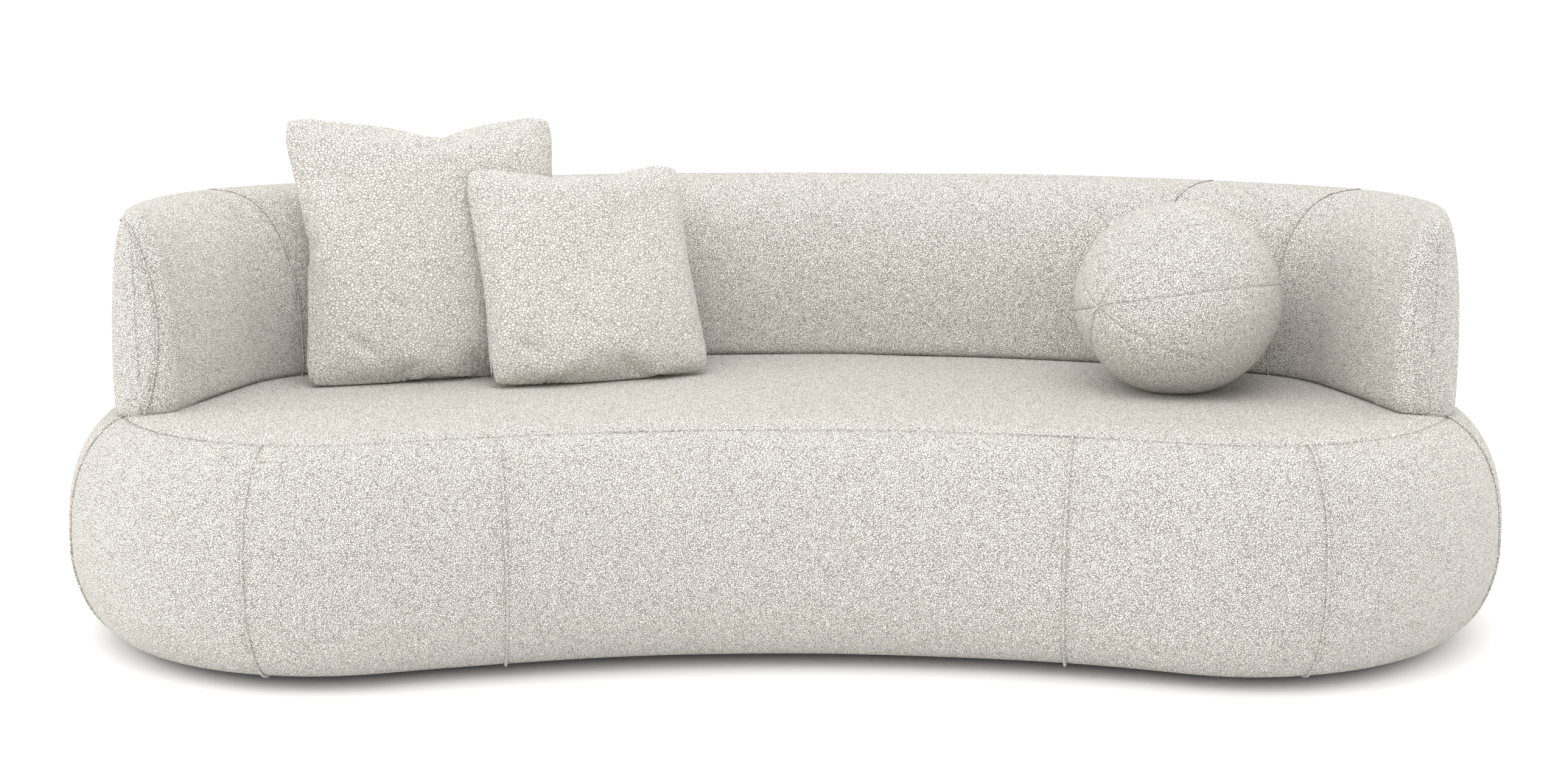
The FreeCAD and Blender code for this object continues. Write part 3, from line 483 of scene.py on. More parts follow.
def thickened(piece, thickness=CLOTH):
    """Give a cover its cloth thickness, inwards."""
    solidify = piece.modifiers.new("cloth", "SOLIDIFY")
    solidify.thickness = thickness * MM
    solidify.offset = -1.0
    solidify.use_quality_normals = True
    return piece


def uneven(points, faces, amount, size, seed):
    """Small hand-built unevenness of stuffed upholstery."""
    return points + point_normals(points, faces) * (soft_noise(points, size, seed) * amount)[:, None]


side_rows = side_profile()
front_seam = HOLLOW_RADIUS * math.asin(FRONT_SEAM_X / HOLLOW_RADIUS)
lobe_seams = [lobe_along(angle) for angle in LOBE_SEAM_ANGLES]
right_marks = [front_seam] + lobe_seams
BASE_PANELS = {
    "front_center_panel": ("front_center_cover", -front_seam, front_seam, ["front_foam"]),
    "right_front_panel": ("right_front_cover", front_seam, lobe_seams[0], ["right_front_foam"]),
    "right_end_panel": ("right_end_cover", lobe_seams[0], lobe_seams[1], ["right_end_foam"]),
    "right_side_panel": ("right_side_cover", lobe_seams[1], lobe_seams[2], []),
    "rear_panel": ("rear_cover", lobe_seams[2], 2 * HALF_LENGTH - lobe_seams[2], ["rear_foam"]),
    "left_side_panel": ("left_side_cover", -lobe_seams[2], -lobe_seams[1], []),
    "left_end_panel": ("left_end_cover", -lobe_seams[1], -lobe_seams[0], ["left_end_foam"]),
    "left_front_panel": ("left_front_cover", -lobe_seams[0], -front_seam, ["left_front_foam"]),
}
SEAM_SPACING = np.array([0.0, 1.5, 3.5, 6.0, 9.0, 13.0])
SEAT_SEAM_PRESS = (0.9, 5.0)


def level_line(inset, z, count):
    """A line all round the base at one inset and height."""
    plan = outline_points(np.linspace(-HALF_LENGTH, HALF_LENGTH, count), inset)
    return np.column_stack([plan, np.full(count, z)])


seat_seam_line = level_line(SEAT_SEAM_INSET, SEAT_SEAM_Z, 2600)


def panel_stations(start, stop, pitch=14.0):
    """Stations across a panel, close together next to its seams."""
    inner = np.linspace(start + SEAM_SPACING[-1], stop - SEAM_SPACING[-1],
                        max(3, int((stop - start) / pitch)))
    return np.concatenate([start + SEAM_SPACING[:-1], inner, stop - SEAM_SPACING[:-1][::-1]])


for name, (node, start, stop, foams) in BASE_PANELS.items():
    stations = panel_stations(start, stop)
    points = swept(stations, side_rows)
    faces = grid_faces(len(stations), len(side_rows))
    points = uneven(points, faces, 0.5, 300.0, 3)
    for mark in (start, stop):
        points = pressed_seams(points, faces, base_line(mark, side_rows))
    points = pressed_seams(points, faces, seat_seam_line, *SEAT_SEAM_PRESS)
    panel = thickened(mesh_object(name, points, faces, sofa_boucle))
    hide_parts(node, *foams)
    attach(panel, "sofa")


# The seat: shoulder and top in one piece
def seat_grid():
    """Rings of points from the seat seam inwards; the last ring is closed across the sofa."""
    stations = np.linspace(-HALF_LENGTH, HALF_LENGTH, 521)[:-1]
    shoulder = [shoulder_point(a) for a in np.linspace(SEAM_TURN, math.pi / 2, 16)]
    insets = (168, 180, 195, 212, 230, 250, 270, 292, 315, 340, 365, 392, 420, 448)
    inner = [(inset, SEAT) for inset in insets]
    profile = np.array(shoulder + inner)
    points = swept(stations, profile)
    faces = grid_faces(len(stations), len(profile), closed=True)
    inset = np.tile(profile[:, 0], len(stations))
    points[:, 2] += seat_crown(points[:, 0], points[:, 1], inset)
    return points, faces, len(stations), len(profile)


def middle_strip(ring):
    """Faces that close a ring round the bean, from its front to its rear on each half."""
    count = len(ring)
    front = count // 2
    faces = []
    for k in range(front // 2):
        faces.append([ring[front + k], ring[front + k + 1], ring[count - k - 1], ring[-k % count]])
        faces.append([ring[k], ring[k + 1], ring[front - k - 1], ring[front - k]])
    return faces


points, faces, count, width = seat_grid()
ring = [k * width + width - 1 for k in range(count)]
faces += middle_strip(ring)
points = uneven(points, faces, 0.6, 260.0, 7)
points = pressed_seams(points, faces, seat_seam_line, *SEAT_SEAM_PRESS)
seat = thickened(mesh_object("seat_panel", points, faces, sofa_boucle))
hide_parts("seat_cover", "seat_foam")
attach(seat, "sofa")


# The backrest
def foot_line(pitch=9.0):
    """Stations of the backrest's inner foot line on the right half: points and outward angles."""
    bend_start = math.asin(BEND_X / BACK_RADIUS)
    arm = math.radians(ARM_ANGLE)
    foot_y = REAR_Y - BACK_INSET - BACK_THICKNESS
    spots = []
    for a in np.linspace(0, bend_start, int(BACK_RADIUS * bend_start / pitch)):
        spots.append((BACK_RADIUS * math.sin(a), foot_y - BACK_RADIUS + BACK_RADIUS * math.cos(a), a))
    x, y, a = spots[-1]
    elbow = (x - BEND_RADIUS * math.sin(a), y - BEND_RADIUS * math.cos(a))
    for a in np.linspace(bend_start, arm, int(2 * BEND_RADIUS * (arm - bend_start) / pitch))[1:]:
        spots.append((elbow[0] + BEND_RADIUS * math.sin(a), elbow[1] + BEND_RADIUS * math.cos(a), a))
    x, y, a = spots[-1]
    length = (y - ARM_FRONT_Y) / math.sin(arm)
    for share in np.linspace(0, 1, int(length / pitch))[1:]:
        spots.append((x + math.cos(arm) * length * share, y - math.sin(arm) * length * share, arm))
    return spots


def thickness_at(x, y, a):
    """How far the backrest's outer face lies from a point of the foot line."""
    out = np.array([math.sin(a), math.cos(a)])
    for cx, cy, radius, rear in ((0.0, REAR_CENTER_Y, REAR_RADIUS - BACK_INSET, True),
                                 (LOBE_X, LOBE_Y, LOBE_RADIUS - BACK_INSET, False)):
        d = np.array([x - cx, y - cy])
        b = d @ out
        reach = math.sqrt(b * b - d @ d + radius * radius) - b
        hit = np.array([x, y]) + out * reach
        if not rear or math.atan2(hit[0], hit[1] - REAR_CENTER_Y) <= REAR_HALF:
            return reach
    return reach


def back_section(x, y, a, squeeze=1.0, drop=0.0):
    """Rows of one section, from the inner foot over the crown to the outer foot."""
    thickness = thickness_at(x, y, a)
    share = min(1.0, (x / LOBE_X / CROWN_BLEND) ** 2)
    crown_gap = CROWN_CENTER + (CROWN_ARM - CROWN_CENTER) * share
    crown = thickness - crown_gap
    rise = BACK_TOP - drop - BELLY_HEIGHT
    low = BELLY_HEIGHT - BACK_FOOT
    inner_half = crown + BELLY
    places = []
    for t in np.radians(np.linspace(0, 90, 9)):
        places.append((crown - inner_half + (1 - math.sin(t)) ** 2 * BELLY, BACK_FOOT + low * math.sin(t)))
    for t in np.radians(np.linspace(0, 90, 34))[1:]:
        reach, lift = (max(0.0, turn) ** (2 / BACK_SQUARENESS) for turn in (math.cos(t), math.sin(t)))
        places.append((crown - inner_half * reach, BELLY_HEIGHT + rise * lift))
    for t in np.radians(np.linspace(90, 0, 22))[1:]:
        places.append((crown + crown_gap * math.cos(t), BELLY_HEIGHT + rise * math.sin(t)))
    for t in np.radians(np.linspace(0, 90, 9))[1:]:
        places.append((crown + crown_gap - (1 - math.cos(t)) * BACK_TUCK, BELLY_HEIGHT - low * math.sin(t)))
    places = np.array(places)
    center = (thickness - BELLY) / 2
    offset = center + (places[:, 0] - center) * squeeze
    return np.column_stack([x + math.sin(a) * offset, y + math.cos(a) * offset, places[:, 1]])


def back_grid():
    """The whole backrest's surface from the left arm's nose to the right arm's."""
    spots = foot_line()
    sections = [back_section(*spot) for spot in spots]
    x, y, a = spots[-1]
    for t in np.radians(np.linspace(0, 90, 15))[1:]:
        section = back_section(x, y, a, max(0.0, math.cos(t)), NOSE_DROP * (1 - math.cos(t)))
        sections.append(section + np.array([0, -NOSE_LENGTH * math.sin(t), 0]))
    mirror = np.array([-1, 1, 1])
    rows = [section * mirror for section in sections[:0:-1]] + sections
    columns = len(sections[0])
    return welded(np.concatenate(rows), grid_faces(len(rows), columns))


def plane_field(points, seam, side):
    """Signed distance from a ring seam's upright plane; positive towards the arm's nose."""
    (x, y), degrees = seam
    a = math.radians(degrees)
    return (points[:, 0] * side - x) * math.sin(a) - (points[:, 1] - y) * math.cos(a)


def outer_field(points):
    """Positive on the inner panels, negative on the outer one, whose edge bows inwards halfway up."""
    middle = (BACK_FOOT + BACK_TOP) / 2
    half = (BACK_TOP - BACK_FOOT) / 2
    bow = OUTER_PANEL - OUTER_PANEL_END
    radius = (half * half + bow * bow) / (2 * bow)
    rise = np.clip(points[:, 2] - middle, -half, half)
    edge = OUTER_PANEL - radius + np.sqrt(radius ** 2 - rise ** 2)
    return outline_inset(points[:, 0], points[:, 1]) - BACK_INSET - edge


def seam_points(points, faces, field, keep):
    """The points on a field's zero line that a test keeps, in order along the line."""
    edges = {}
    for face in faces:
        for a, b in zip(face, face[1:] + face[:1]):
            if abs(field[a]) < 1e-9 and abs(field[b]) < 1e-9 and keep(points[a]) and keep(points[b]):
                edges.setdefault(a, set()).add(b)
                edges.setdefault(b, set()).add(a)
    chains = []
    left = set(edges)
    while left:
        ends = [k for k in left if len(edges[k] & left) <= 1] or list(left)
        chain = [min(ends)]
        left.discard(chain[0])
        while edges[chain[-1]] & left:
            chain.append(min(edges[chain[-1]] & left))
            left.discard(chain[-1])
        chains.append(points[chain])
    return sorted(chains, key=len)[-1]


def over_seat(points):
    """How high points stand over the seat's surface."""
    return points[:, 2] - base_height(points[:, 0], points[:, 1])


BACK_GAP = 0.4
RING_PRESS = (1.3, 5.0)
OUTER_PRESS = (1.0, 6.0)
FOOT_TURN_IN = 5.0
points, faces = back_grid()
points, faces, outer_values = cut(points, faces, outer_field(points))
points, faces, _ = cut(points, faces, over_seat(points) - BACK_GAP)
for seam in RING_SEAMS:
    for side in (-1, 1):
        points, faces, _ = cut(points, faces, plane_field(points, seam, side))
over = over_seat(points) - BACK_GAP
faces = [face for face in faces if np.mean([over[k] for k in face]) > 0]
outer_values = np.where(np.abs(outer_field(points)) < 0.5, 0.0, outer_field(points))
ring_lines = {}
for k, seam in enumerate(RING_SEAMS):
    for side in (-1, 1):
        field = plane_field(points, seam, side)
        field = np.where(np.abs(field) < 0.45, 0.0, field)
        ring_lines[(k, side)] = seam_points(points, faces, field, lambda p: outer_field(p[None])[0] > -0.6)
outer_line = seam_points(points, faces, outer_values, lambda p: True)

centers = np.array([points[face].mean(axis=0) for face in faces])
is_outer = outer_field(centers) < 0
order = np.zeros(len(faces), int)
for k, seam in enumerate(RING_SEAMS):
    for side in (-1, 1):
        order += np.where(plane_field(centers, seam, side) > 0, side, 0)
points = uneven(points, faces, 0.8, 330.0, 11)
for line in ring_lines.values():
    points = pressed_seams(points, faces, line, *RING_PRESS)
points = pressed_seams(points, faces, outer_line, *OUTER_PRESS)
turn_in = FOOT_TURN_IN * np.exp(-np.clip(over_seat(points), 0, None) / FOOT_TURN_IN)
points = points - point_normals(points, faces) * turn_in[:, None] * [1, 1, 0]
BACK_PANELS = {
    "left_arm_panel": (-2, "left_arm_cover", "left_arm_foam"),
    "left_shoulder_panel": (-1, "left_shoulder_cover"),
    "back_center_panel": (0, "back_center_cover", "back_foam"),
    "right_shoulder_panel": (1, "right_shoulder_cover"),
    "right_arm_panel": (2, "right_arm_cover", "right_arm_foam"),
    "back_outer_panel": (None, "back_outer_cover"),
}
for name, (place, *nodes) in BACK_PANELS.items():
    belongs = is_outer if place is None else ~is_outer & (order == place)
    chosen = [face for face, kept in zip(faces, belongs) if kept]
    used = sorted({k for face in chosen for k in face})
    new = {old: k for k, old in enumerate(used)}
    chosen = [[new[k] for k in face] for face in chosen]
    panel = thickened(mesh_object(name, points[used], chosen, sofa_boucle))
    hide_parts(*nodes)
    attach(panel, "sofa")


# Welts: a cord in a folded strip of the cloth, sewn into a seam
def node_tree(name, sizes):
    """A Geometry Nodes tree with named size inputs; returns the tree, its input and output nodes and the
    sockets' identifiers."""
    tree = bpy.data.node_groups.new(name, "GeometryNodeTree")
    tree.interface.new_socket("Geometry", in_out="INPUT", socket_type="NodeSocketGeometry")
    tree.interface.new_socket("Geometry", in_out="OUTPUT", socket_type="NodeSocketGeometry")
    keys = {}
    for size, value in sizes.items():
        socket = tree.interface.new_socket(size, in_out="INPUT", socket_type="NodeSocketFloat")
        socket.default_value = value
        keys[size] = socket.identifier
    return tree, add(tree, "NodeGroupInput"), add(tree, "NodeGroupOutput"), keys


def finished(tree, end, geometry, material):
    """Smooth, realised and painted geometry as a tree's result."""
    smooth = add(tree, "GeometryNodeSetShadeSmooth", {"Geometry": geometry})
    real = add(tree, "GeometryNodeRealizeInstances", {"Geometry": smooth})
    painted = add(tree, "GeometryNodeSetMaterial", {"Geometry": real, "Material": material})
    tree.links.new(painted.outputs["Geometry"], end.inputs["Geometry"])


def tube_along(tree, curve, radius, sides):
    """A closed round tube along a curve."""
    ring = add(tree, "GeometryNodeCurvePrimitiveCircle", {"Resolution": sides, "Radius": radius})
    return add(tree, "GeometryNodeCurveToMesh", {"Curve": curve, "Profile Curve": ring, "Fill Caps": True})


def welt_tree(material):
    """A tube along each path, a little uneven as hand-sewn piping is."""
    sizes = {"Radius": 0.0024, "Pitch": 0.004, "Unevenness": 0.0004}
    tree, start, end, keys = node_tree("welt along a seam", sizes)
    lines = add(tree, "GeometryNodeMeshToCurve", {"Mesh": start.outputs["Geometry"]})
    evened = add(tree, "GeometryNodeResampleCurve", {"Curve": lines, "Length": start.outputs["Pitch"]},
                 mode="LENGTH")
    tube = tube_along(tree, evened, start.outputs["Radius"], 10)
    lumps = add(tree, "ShaderNodeTexNoise", {"Scale": 160.0, "Detail": 1.0})
    middle = add(tree, "ShaderNodeVectorMath", {0: lumps.outputs["Color"], 1: MIDDLE}, operation="SUBTRACT")
    shift = add(tree, "ShaderNodeVectorMath", {0: middle, "Scale": start.outputs["Unevenness"]},
                operation="SCALE")
    finished(tree, end, add(tree, "GeometryNodeSetPosition", {"Geometry": tube, "Offset": shift}), material)
    return tree, keys


def grown(name, points, edges, tree, keys, sizes):
    """The plain mesh that a Geometry Nodes tree makes of some lines."""
    mesh = bpy.data.meshes.new(name)
    mesh.from_pydata([tuple(p) for p in np.asarray(points) * MM], edges, [])
    seed = bpy.data.objects.new(name + " path", mesh)
    bpy.context.scene.collection.objects.link(seed)
    modifier = seed.modifiers.new("nodes", "NODES")
    modifier.node_group = tree
    for size, value in sizes.items():
        modifier[keys[size]] = value
    depsgraph = bpy.context.evaluated_depsgraph_get()
    result = bpy.data.meshes.new_from_object(seed.evaluated_get(depsgraph), depsgraph=depsgraph)
    result.name = name
    bpy.data.objects.remove(seed)
    made = bpy.data.objects.new(name, result)
    bpy.context.scene.collection.objects.link(made)
    return made


def joined(lines):
    """Several lines as one set of points and edges."""
    points, edges = [], []
    for path in lines:
        edges += [(len(points) + k, len(points) + k + 1) for k in range(len(path) - 1)]
        points += list(path)
    return points, edges


NUB_DROP = 5.0
WELT_SINK = 1.0
BASE_WELT = {"Radius": 0.0025}
BACK_WELT = {"Radius": 0.0016}


def base_welt_line(mark, nub):
    """A welt's path up the base's side; its sewn-off end hangs a little under the edge as a nub."""
    rows = side_rows[2:]
    line = base_line(mark, rows, 0.9)
    steps = np.concatenate([[0.0], np.cumsum(np.linalg.norm(np.diff(rows, axis=0), axis=1))])
    corner = steps[np.argmin(np.abs(rows[:, 0] - BOTTOM_INSET * 0.72) + 1000 * (rows[:, 1] > WIDEST))]
    line[:, 2] -= (NUB_DROP if nub else WELT_SINK) * np.exp(-((steps - corner) / 9.0) ** 2)
    return dense(line, 3.0)


def lifted(line, points, normals, lift):
    """A line moved off a surface along the surface's own normals."""
    tree = search_tree(points)
    return np.array([p + normals[tree.find(p)[1]] * lift for p in line])


def smoothed(line, rounds=3):
    """A line with its small steps taken out; its ends stay."""
    line = np.array(line, float)
    for _ in range(rounds):
        line[1:-1] = (line[:-2] + 2 * line[1:-1] + line[2:]) / 4
    return line


welting, welt_keys = welt_tree(sofa_boucle)
lines = [base_welt_line(side * mark, k == 0) for k, mark in enumerate(right_marks) for side in (-1, 1)]
base_welts = grown("base_welts", *joined(lines), welting, welt_keys, BASE_WELT)
back_normals = point_normals(points, faces)
ring_paths = [smoothed(dense(lifted(line, points, back_normals, 0.5))) for line in ring_lines.values()]
ring_welts = grown("back_welts", *joined(ring_paths), welting, welt_keys, BACK_WELT)
edge_path = smoothed(dense(lifted(outer_line, points, back_normals, 0.8)))
edge_welt = grown("arm_end_welt", *joined([edge_path]), welting, welt_keys, BACK_WELT)
for welt, node in ((base_welts, "base_seam_welts"), (ring_welts, "back_seam_welts"), (edge_welt, None)):
    if node:
        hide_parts(node)
    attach(welt, "sofa")


# The dust cover: black cloth pulled tight and stapled under the floor board
DUST_INSET = BOTTOM_INSET + TURN_UNDER / 2
FOOT_RADIUS = 30.0
FOOT_INSET = 210.0
FOOT_ANGLES = (-95.0, -20.0, 45.0)
STAPLE_PITCH = 55.0
STAPLE_WIDTH = 10.0
STAPLE_TURN = 0.35
HEM_MARGIN = 9.0
DUST_RINGS = (0, 6, 14, 26, 42, 60, 80, 100, 122, 146, 172, 200, 230, 262, 296, 330)


def foot_centers():
    """Plan positions of the eight feet."""
    reach = LOBE_RADIUS - FOOT_INSET
    turns = np.radians(FOOT_ANGLES)
    spots = [(LOBE_X + reach * math.cos(a), LOBE_Y + reach * math.sin(a)) for a in turns]
    spots += [(-x, y) for x, y in spots]
    return spots + [(0.0, HOLLOW_Y + HOLLOW_RADIUS + FOOT_INSET), (0.0, REAR_Y - FOOT_INSET)]


def dust_cover():
    """The cloth's rings, closed across the middle, with a round opening for each foot."""
    stations = np.linspace(-HALF_LENGTH, HALF_LENGTH, 361)[:-1]
    profile = np.array([(DUST_INSET + step, UNDERSIDE - 0.5) for step in DUST_RINGS])
    points = swept(stations, profile)
    faces = grid_faces(len(stations), len(profile), closed=True)
    faces += middle_strip([k * len(profile) + len(profile) - 1 for k in range(len(stations))])
    for x, y in foot_centers():
        field = np.hypot(points[:, 0] - x, points[:, 1] - y) - FOOT_RADIUS - 0.6
        points, faces, field = cut(points, faces, field, 0.1)
        faces = [face for face in faces if max(field[k] for k in face) > 0]
    return points, [face[::-1] for face in faces]


def staple_tree(material):
    """Wire staples at a pitch along a line, each crown lying along X and turned a little at random."""
    sizes = {"Pitch": 0.055, "Width": 0.010, "Wire": 0.0005}
    tree, start, end, keys = node_tree("staples along a hem", sizes)
    lines = add(tree, "GeometryNodeMeshToCurve", {"Mesh": start.outputs["Geometry"]})
    spots = add(tree, "GeometryNodeCurveToPoints", {"Curve": lines, "Length": start.outputs["Pitch"]},
                mode="LENGTH")
    half = add(tree, "ShaderNodeMath", {0: start.outputs["Width"], 1: 0.5}, operation="MULTIPLY")
    other = add(tree, "ShaderNodeMath", {0: half, 1: -1.0}, operation="MULTIPLY")
    left, right = (add(tree, "ShaderNodeCombineXYZ", {"X": reach}) for reach in (half, other))
    crown = add(tree, "GeometryNodeCurvePrimitiveLine", {"Start": left, "End": right})
    wire = tube_along(tree, crown, start.outputs["Wire"], 8)
    angle = add(tree, "FunctionNodeRandomValue", {2: -STAPLE_TURN, 3: STAPLE_TURN, "Seed": 5},
                data_type="FLOAT")
    spin = add(tree, "ShaderNodeCombineXYZ", {"Z": angle.outputs[1]})
    placed = add(tree, "GeometryNodeInstanceOnPoints", {"Points": spots, "Instance": wire, "Rotation": spin})
    finished(tree, end, placed, material)
    return tree, keys


underneath = mesh_object("dust_cloth", *dust_cover(), NODE_MATERIALS["dust_cloth"])
stapling, staple_keys = staple_tree(NODE_MATERIALS["zinc_steel"])
hem = level_line(DUST_INSET + HEM_MARGIN, UNDERSIDE - 1.0, 721)
staples = grown("dust_cloth_staples", *joined([hem]), stapling, staple_keys,
                {"Pitch": STAPLE_PITCH * MM, "Width": STAPLE_WIDTH * MM})
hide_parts("dust_cover")
for piece, place in ((underneath, "dust_cloth"), (staples, "zinc_steel")):
    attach(piece, "sofa")


# Pillows
SQUARE_PILLOWS = {
    "large_pillow": dict(width=482.0, height=452.0, thickness=126.0, foot=(-600.0, 10.0), turn=20.0,
                         lean=17.0, rise=8.0, slip=-5.0, roll=-0.022,
                         crease=((-176.0, 82.0), (-118.0, 36.0)), seed=21),
    "small_pillow": dict(width=398.0, height=366.0, thickness=116.0, foot=(-320.0, -14.0), turn=20.0,
                         lean=24.0, rise=16.0, slip=-10.0, roll=-0.028,
                         crease=((-150.0, 64.0), (-106.0, 32.0)), seed=22),
}
PILLOW_CELLS = 44
BLANK_GAP = 6
PILLOW_PRESSURE = 2.1
PILLOW_FRAMES = 26
SETTLED = 4.0
EDGE_PLUMPNESS = 7.0
CORNER_REACH = 24.0
SIDE_DRAW = 0.03
EAR_LIFT = 12.0
CREASE_DEPTH = 7.0
CREASE_REACH = 11.0
SEAT_GAP = 0.5


def pillow_blank(width, height):
    """Two square cloths that share their border, just apart inside it."""
    n = PILLOW_CELLS
    place, points, faces = {}, [], []

    def corner(i, j, side):
        on_edge = i in (0, n) or j in (0, n)
        key = (i, j, 0 if on_edge else side)
        if key not in place:
            u, v = 2 * i / n - 1, 2 * j / n - 1
            place[key] = len(points)
            apart = 0 if on_edge else side * BLANK_GAP * (1 - u ** 6) * (1 - v ** 6)
            points.append((u * width / 2, v * height / 2, apart))
        return place[key]

    for side in (1, -1):
        for i in range(n):
            for j in range(n):
                face = [corner(*ij, side) for ij in ((i, j), (i + 1, j), (i + 1, j + 1), (i, j + 1))]
                faces.append(face if side > 0 else face[::-1])
    return np.array(points), faces, [place[(i, j, 0)] for i in (0, n) for j in (0, n)]


def softened(points, faces, spots, reach, rounds=10):
    """The same form with the neighbourhood of some points smoothed, as stuffing rounds a pillow's corners."""
    sizes = [len(face) for face in faces]
    flat = np.concatenate(faces)
    gaps = np.min([np.linalg.norm(points - spot, axis=1) for spot in spots], axis=0)
    weight = 0.7 * np.exp(-(gaps / reach) ** 2)
    count = np.bincount(flat, minlength=len(points))[:, None]
    for _ in range(rounds):
        middles = np.array([points[face].mean(axis=0) for face in faces])
        total = np.zeros_like(points)
        np.add.at(total, flat, np.repeat(middles, sizes, axis=0))
        points = points + (total / count - points) * weight[:, None]
    return points


def blown_up(points, faces, pressure, frames):
    """The cloth filled by air pressure, which stands for the pillow's stuffing."""
    mesh = bpy.data.meshes.new("pillow cloth")
    mesh.from_pydata([tuple(p) for p in points * MM], [], faces)
    blank = bpy.data.objects.new("pillow cloth", mesh)
    bpy.context.scene.collection.objects.link(blank)
    cloth = blank.modifiers.new("cloth", "CLOTH").settings
    cloth.quality = 6
    cloth.mass = 0.15
    cloth.tension_stiffness = cloth.compression_stiffness = 15.0
    cloth.shear_stiffness = 4.5
    cloth.bending_stiffness = 0.5
    cloth.tension_damping = cloth.compression_damping = 12.0
    cloth.shear_damping = 8.0
    cloth.air_damping = 4.0
    cloth.use_pressure = True
    cloth.uniform_pressure_force = pressure
    cloth.effector_weights.gravity = 0
    scene = bpy.context.scene
    for step in range(1, frames + 1):
        scene.frame_set(step)
    result = blank.evaluated_get(bpy.context.evaluated_depsgraph_get()).to_mesh()
    settled = np.array([v.co for v in result.vertices]) / MM
    bpy.data.objects.remove(blank)
    scene.frame_set(1)
    return settled


def subdivided(points, faces, levels):
    """A finer, smoother mesh of the same form, with the same order each time."""
    mesh = bpy.data.meshes.new("fine")
    mesh.from_pydata([tuple(p) for p in points], [], faces)
    coarse = bpy.data.objects.new("fine", mesh)
    bpy.context.scene.collection.objects.link(coarse)
    modifier = coarse.modifiers.new("fine", "SUBSURF")
    modifier.levels = modifier.render_levels = levels
    fine = coarse.evaluated_get(bpy.context.evaluated_depsgraph_get()).to_mesh()
    result = np.array([v.co for v in fine.vertices]), [list(p.vertices) for p in fine.polygons]
    bpy.data.objects.remove(coarse)
    return result


def flattened(heights, floor, soft):
    """Heights eased so that none falls under a floor; only those within a soft depth of it change."""
    over = heights - floor
    return floor + np.where(over > soft, over, soft * np.exp(np.minimum(over - soft, 0) / soft))


def pillow_place(size):
    """The directions across, up and towards the sitter of a leaning pillow."""
    turn, lean = math.radians(size["turn"]), math.radians(size["lean"])
    across = np.array([math.cos(turn), math.sin(turn), 0.0])
    back = np.array([-math.sin(turn), math.cos(turn), 0.0])
    up = np.array([0, 0, math.cos(lean)]) + back * math.sin(lean)
    return across, up, np.cross(across, up)


def square_pillow(name, size):
    """A stuffed square pillow: blown up from two flat cloths, sized, stood on the seat and leaned back."""
    points, faces, corners = pillow_blank(size["width"], size["height"])
    points = blown_up(points, faces, PILLOW_PRESSURE, PILLOW_FRAMES)
    points = softened(points, faces, points[corners], CORNER_REACH)
    points, faces = subdivided(points, faces, 2)
    points = points + point_normals(points, faces) * EDGE_PLUMPNESS
    points = uneven(points, faces, 1.6, 150.0, size["seed"])
    low, high = points.min(axis=0), points.max(axis=0)
    height = size["height"] + size["rise"] + SETTLED
    stretch = np.array([size["width"], height, size["thickness"]]) / (high - low)
    points = (points - [(low[0] + high[0]) / 2, low[1], (low[2] + high[2]) / 2]) * stretch
    share = points[:, 1] / height
    columns = np.round(points[:, 0] / 12.0).astype(int)
    bottoms = {c: points[columns == c, 1].min() for c in set(columns)}
    arch = np.array([bottoms[c] for c in columns])
    arch = np.interp(points[:, 0], *np.array(sorted(zip(points[:, 0], arch))).T)
    bulge = EAR_LIFT * (1 - (2 * points[:, 0] / size["width"]) ** 2)
    points[:, 1] -= (arch + bulge) * np.clip(1 - share, 0, 1) ** 3
    points[:, 0] *= 1 - SIDE_DRAW * (1 - (2 * share - 1) ** 2)
    points[:, 0] += size["slip"] * share
    points[:, 1] += size["roll"] * points[:, 0] * share
    start, stop = (np.array([*spot, 0.0]) for spot in size["crease"])
    along = stop - start
    flat = points * [1, 1, 0]
    share = np.clip((flat - start) @ along / (along @ along), 0, 1)
    gap = np.linalg.norm(flat - start - share[:, None] * along, axis=1)
    fold = CREASE_DEPTH * np.exp(-(gap / CREASE_REACH) ** 2) * np.sin(math.pi * np.clip(share, 0.08, 0.92))
    points[:, 2] -= fold * (points[:, 2] > 0)
    across, up, front = pillow_place(size)
    x, y = size["foot"]
    placed = np.array([x, y, 0.0]) + points @ np.array([across, up, front])
    floor = SEAT + SEAT_GAP
    placed[:, 2] += floor - SETTLED - placed[:, 2].min()
    placed[:, 2] = flattened(placed[:, 2], floor, SETTLED)
    pillow = mesh_object(name + "_cloth", placed, faces, teddy_boucle)
    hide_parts(name + "_cover", name + "_filling")
    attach(pillow, name)
    return pillow


for name, size in SQUARE_PILLOWS.items():
    square_pillow(name, size)

BALL_RADIUS = 174.0
BALL_HEIGHT = 330.0
BALL_FLAT = 5.0
BALL_CENTER = (672.0, -80.0)
BALL_POLE = (-0.855, -0.52, 0.0)
GORES = 8
FIRST_GORE = math.radians(30.8)
GROOVE_DEPTH = 2.2
GROOVE_REACH = 2.4
GORE_SWELL = 1.0
BALL_SOFT = 7.0
GORE_STEPS = (0.0, 1.2, 2.4, 3.8, 5.6, 8.5, 13.0, 20.0, 30.0, 42.0, 55.0)
POLE_STEPS = (0.0, 0.6, 1.4, 2.6)


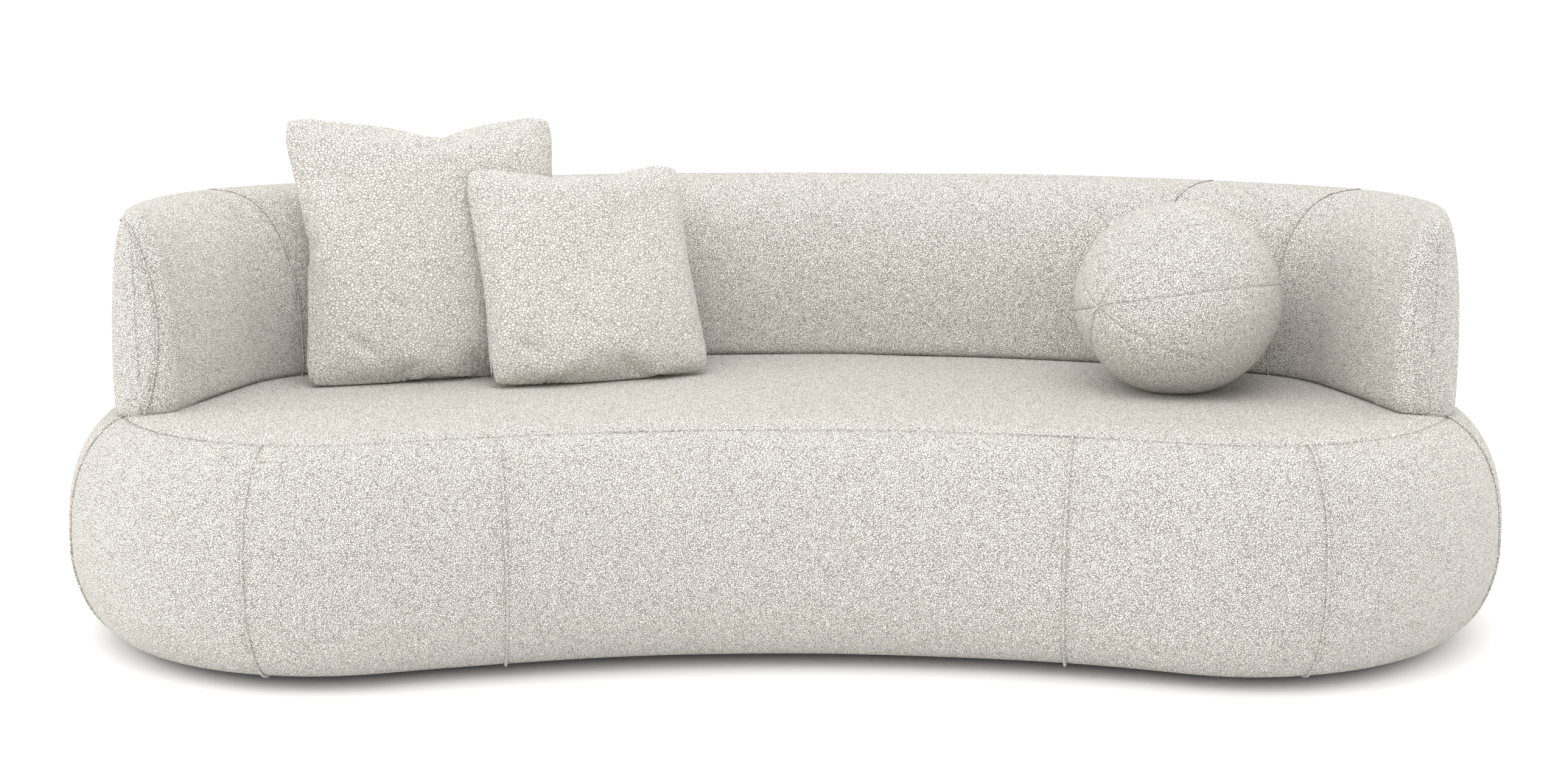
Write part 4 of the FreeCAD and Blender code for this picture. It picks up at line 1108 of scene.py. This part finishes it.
def ball():
    """The round pillow: eight gores that meet at two poles, heavy enough to flatten where it rests."""
    pole = np.array(BALL_POLE) / np.linalg.norm(BALL_POLE)
    upward = np.array([0, 0, 1.0]) - pole * pole[2]
    upward /= np.linalg.norm(upward)
    sideways = np.cross(upward, pole)
    gore = 2 * math.pi / GORES
    reach = np.array(GORE_STEPS) / BALL_RADIUS
    spread = np.concatenate([reach, gore - reach[:0:-1]])
    turns = np.concatenate([FIRST_GORE + k * gore + spread for k in range(GORES)])
    ends = np.array(POLE_STEPS)
    lines = np.radians(np.concatenate([ends, np.linspace(4.2, 175.8, 84), 180.0 - ends[::-1]]))
    size = np.array([BALL_RADIUS, BALL_RADIUS, BALL_HEIGHT / 2])
    points = []
    for t in turns:
        direction = math.cos(t) * upward + math.sin(t) * sideways
        from_seam = abs((t - FIRST_GORE + gore / 2) % gore - gore / 2)
        for polar in lines:
            unit = math.cos(polar) * pole + math.sin(polar) * direction
            gap = from_seam * BALL_RADIUS * math.sin(polar)
            groove = GROOVE_DEPTH * math.exp(-(gap / GROOVE_REACH) ** 2)
            swell = GORE_SWELL * math.sin(math.pi * from_seam / gore)
            points.append(unit * (1 - groove / BALL_RADIUS + swell / BALL_RADIUS) * size)
    points, faces = welded(np.array(points), grid_faces(len(turns), len(lines), closed=True))
    low = -BALL_HEIGHT / 2 + BALL_FLAT
    points[:, 2] = flattened(points[:, 2], low, BALL_SOFT)
    points[:, 2] -= points[:, 2].min() - low
    a, b, c = points[faces[0][:3]]
    if a @ np.cross(b - a, c - a) < 0:
        faces = [face[::-1] for face in faces]
    points = uneven(points, faces, 1.0, 190.0, 31)
    return points + [*BALL_CENTER, SEAT + SEAT_GAP - low], faces


pillow = mesh_object("ball_pillow_cloth", *ball(), sofa_boucle)
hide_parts("ball_pillow_cover", "ball_pillow_filling")
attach(pillow, "ball_pillow")


# Stage, light and camera
# Large soft lights out of the picture: name, place in metres, size in metres and power in watts.
SOFTBOXES = (
    ("overhead softbox", (-0.3, -1.3, 3.6), (4.4, 2.6), 70.0),
    ("front softbox", (0.3, -5.4, 1.5), (3.4, 2.0), 22.0),
    ("left softbox", (-4.2, -0.6, 1.7), (2.6, 2.2), 50.0),
    ("right softbox", (4.6, 0.6, 1.8), (2.4, 2.2), 45.0),
)
AIM = (0.0, 0.1, 0.35)
SKY_STRENGTH = 1.10
FLOOR_REACH = 200000.0
VIEWPOINT = (0.0, -3.767, 1.1457)
VIEW_PITCH = 11.53


def studio():
    """Plain white floor, even pale surroundings and soft lights."""
    floor_material, tree, output = new_material("white studio floor")
    surfaced(tree, output, {"Base Color": linear("#F7F7F7"), "Roughness": 0.9})
    corners = np.array([(-1, -1, 0), (1, -1, 0), (1, 1, 0), (-1, 1, 0)]) * FLOOR_REACH
    floor = mesh_object("floor", corners, [[0, 1, 2, 3]], floor_material)
    world = bpy.data.worlds.new("studio surroundings")
    world.use_nodes = True
    world.node_tree.nodes["Background"].inputs["Color"].default_value = linear("#FFFFFF")
    world.node_tree.nodes["Background"].inputs["Strength"].default_value = SKY_STRENGTH
    bpy.context.scene.world = world
    for name, place, size, power in SOFTBOXES:
        light = bpy.data.lights.new(name, "AREA")
        light.shape = "RECTANGLE"
        light.size, light.size_y = size
        light.energy = power
        lamp = bpy.data.objects.new(name, light)
        lamp.location = place
        lamp.rotation_euler = (Vector(AIM) - Vector(place)).to_track_quat("-Z", "Y").to_euler()
        bpy.context.scene.collection.objects.link(lamp)


def camera():
    """The photograph's viewpoint, found from the outline of the base and its seams."""
    data = bpy.data.cameras.new("camera")
    data.lens = 50.0
    data.sensor_width = 36.0
    data.shift_x = -0.0008
    data.clip_end = 500.0
    viewer = bpy.data.objects.new("camera", data)
    viewer.location = VIEWPOINT
    viewer.rotation_euler = (math.radians(90 - VIEW_PITCH), 0, 0)
    bpy.context.scene.collection.objects.link(viewer)
    bpy.context.scene.camera = viewer


studio()
camera()
bpy.context.scene.view_settings.view_transform = "Standard"
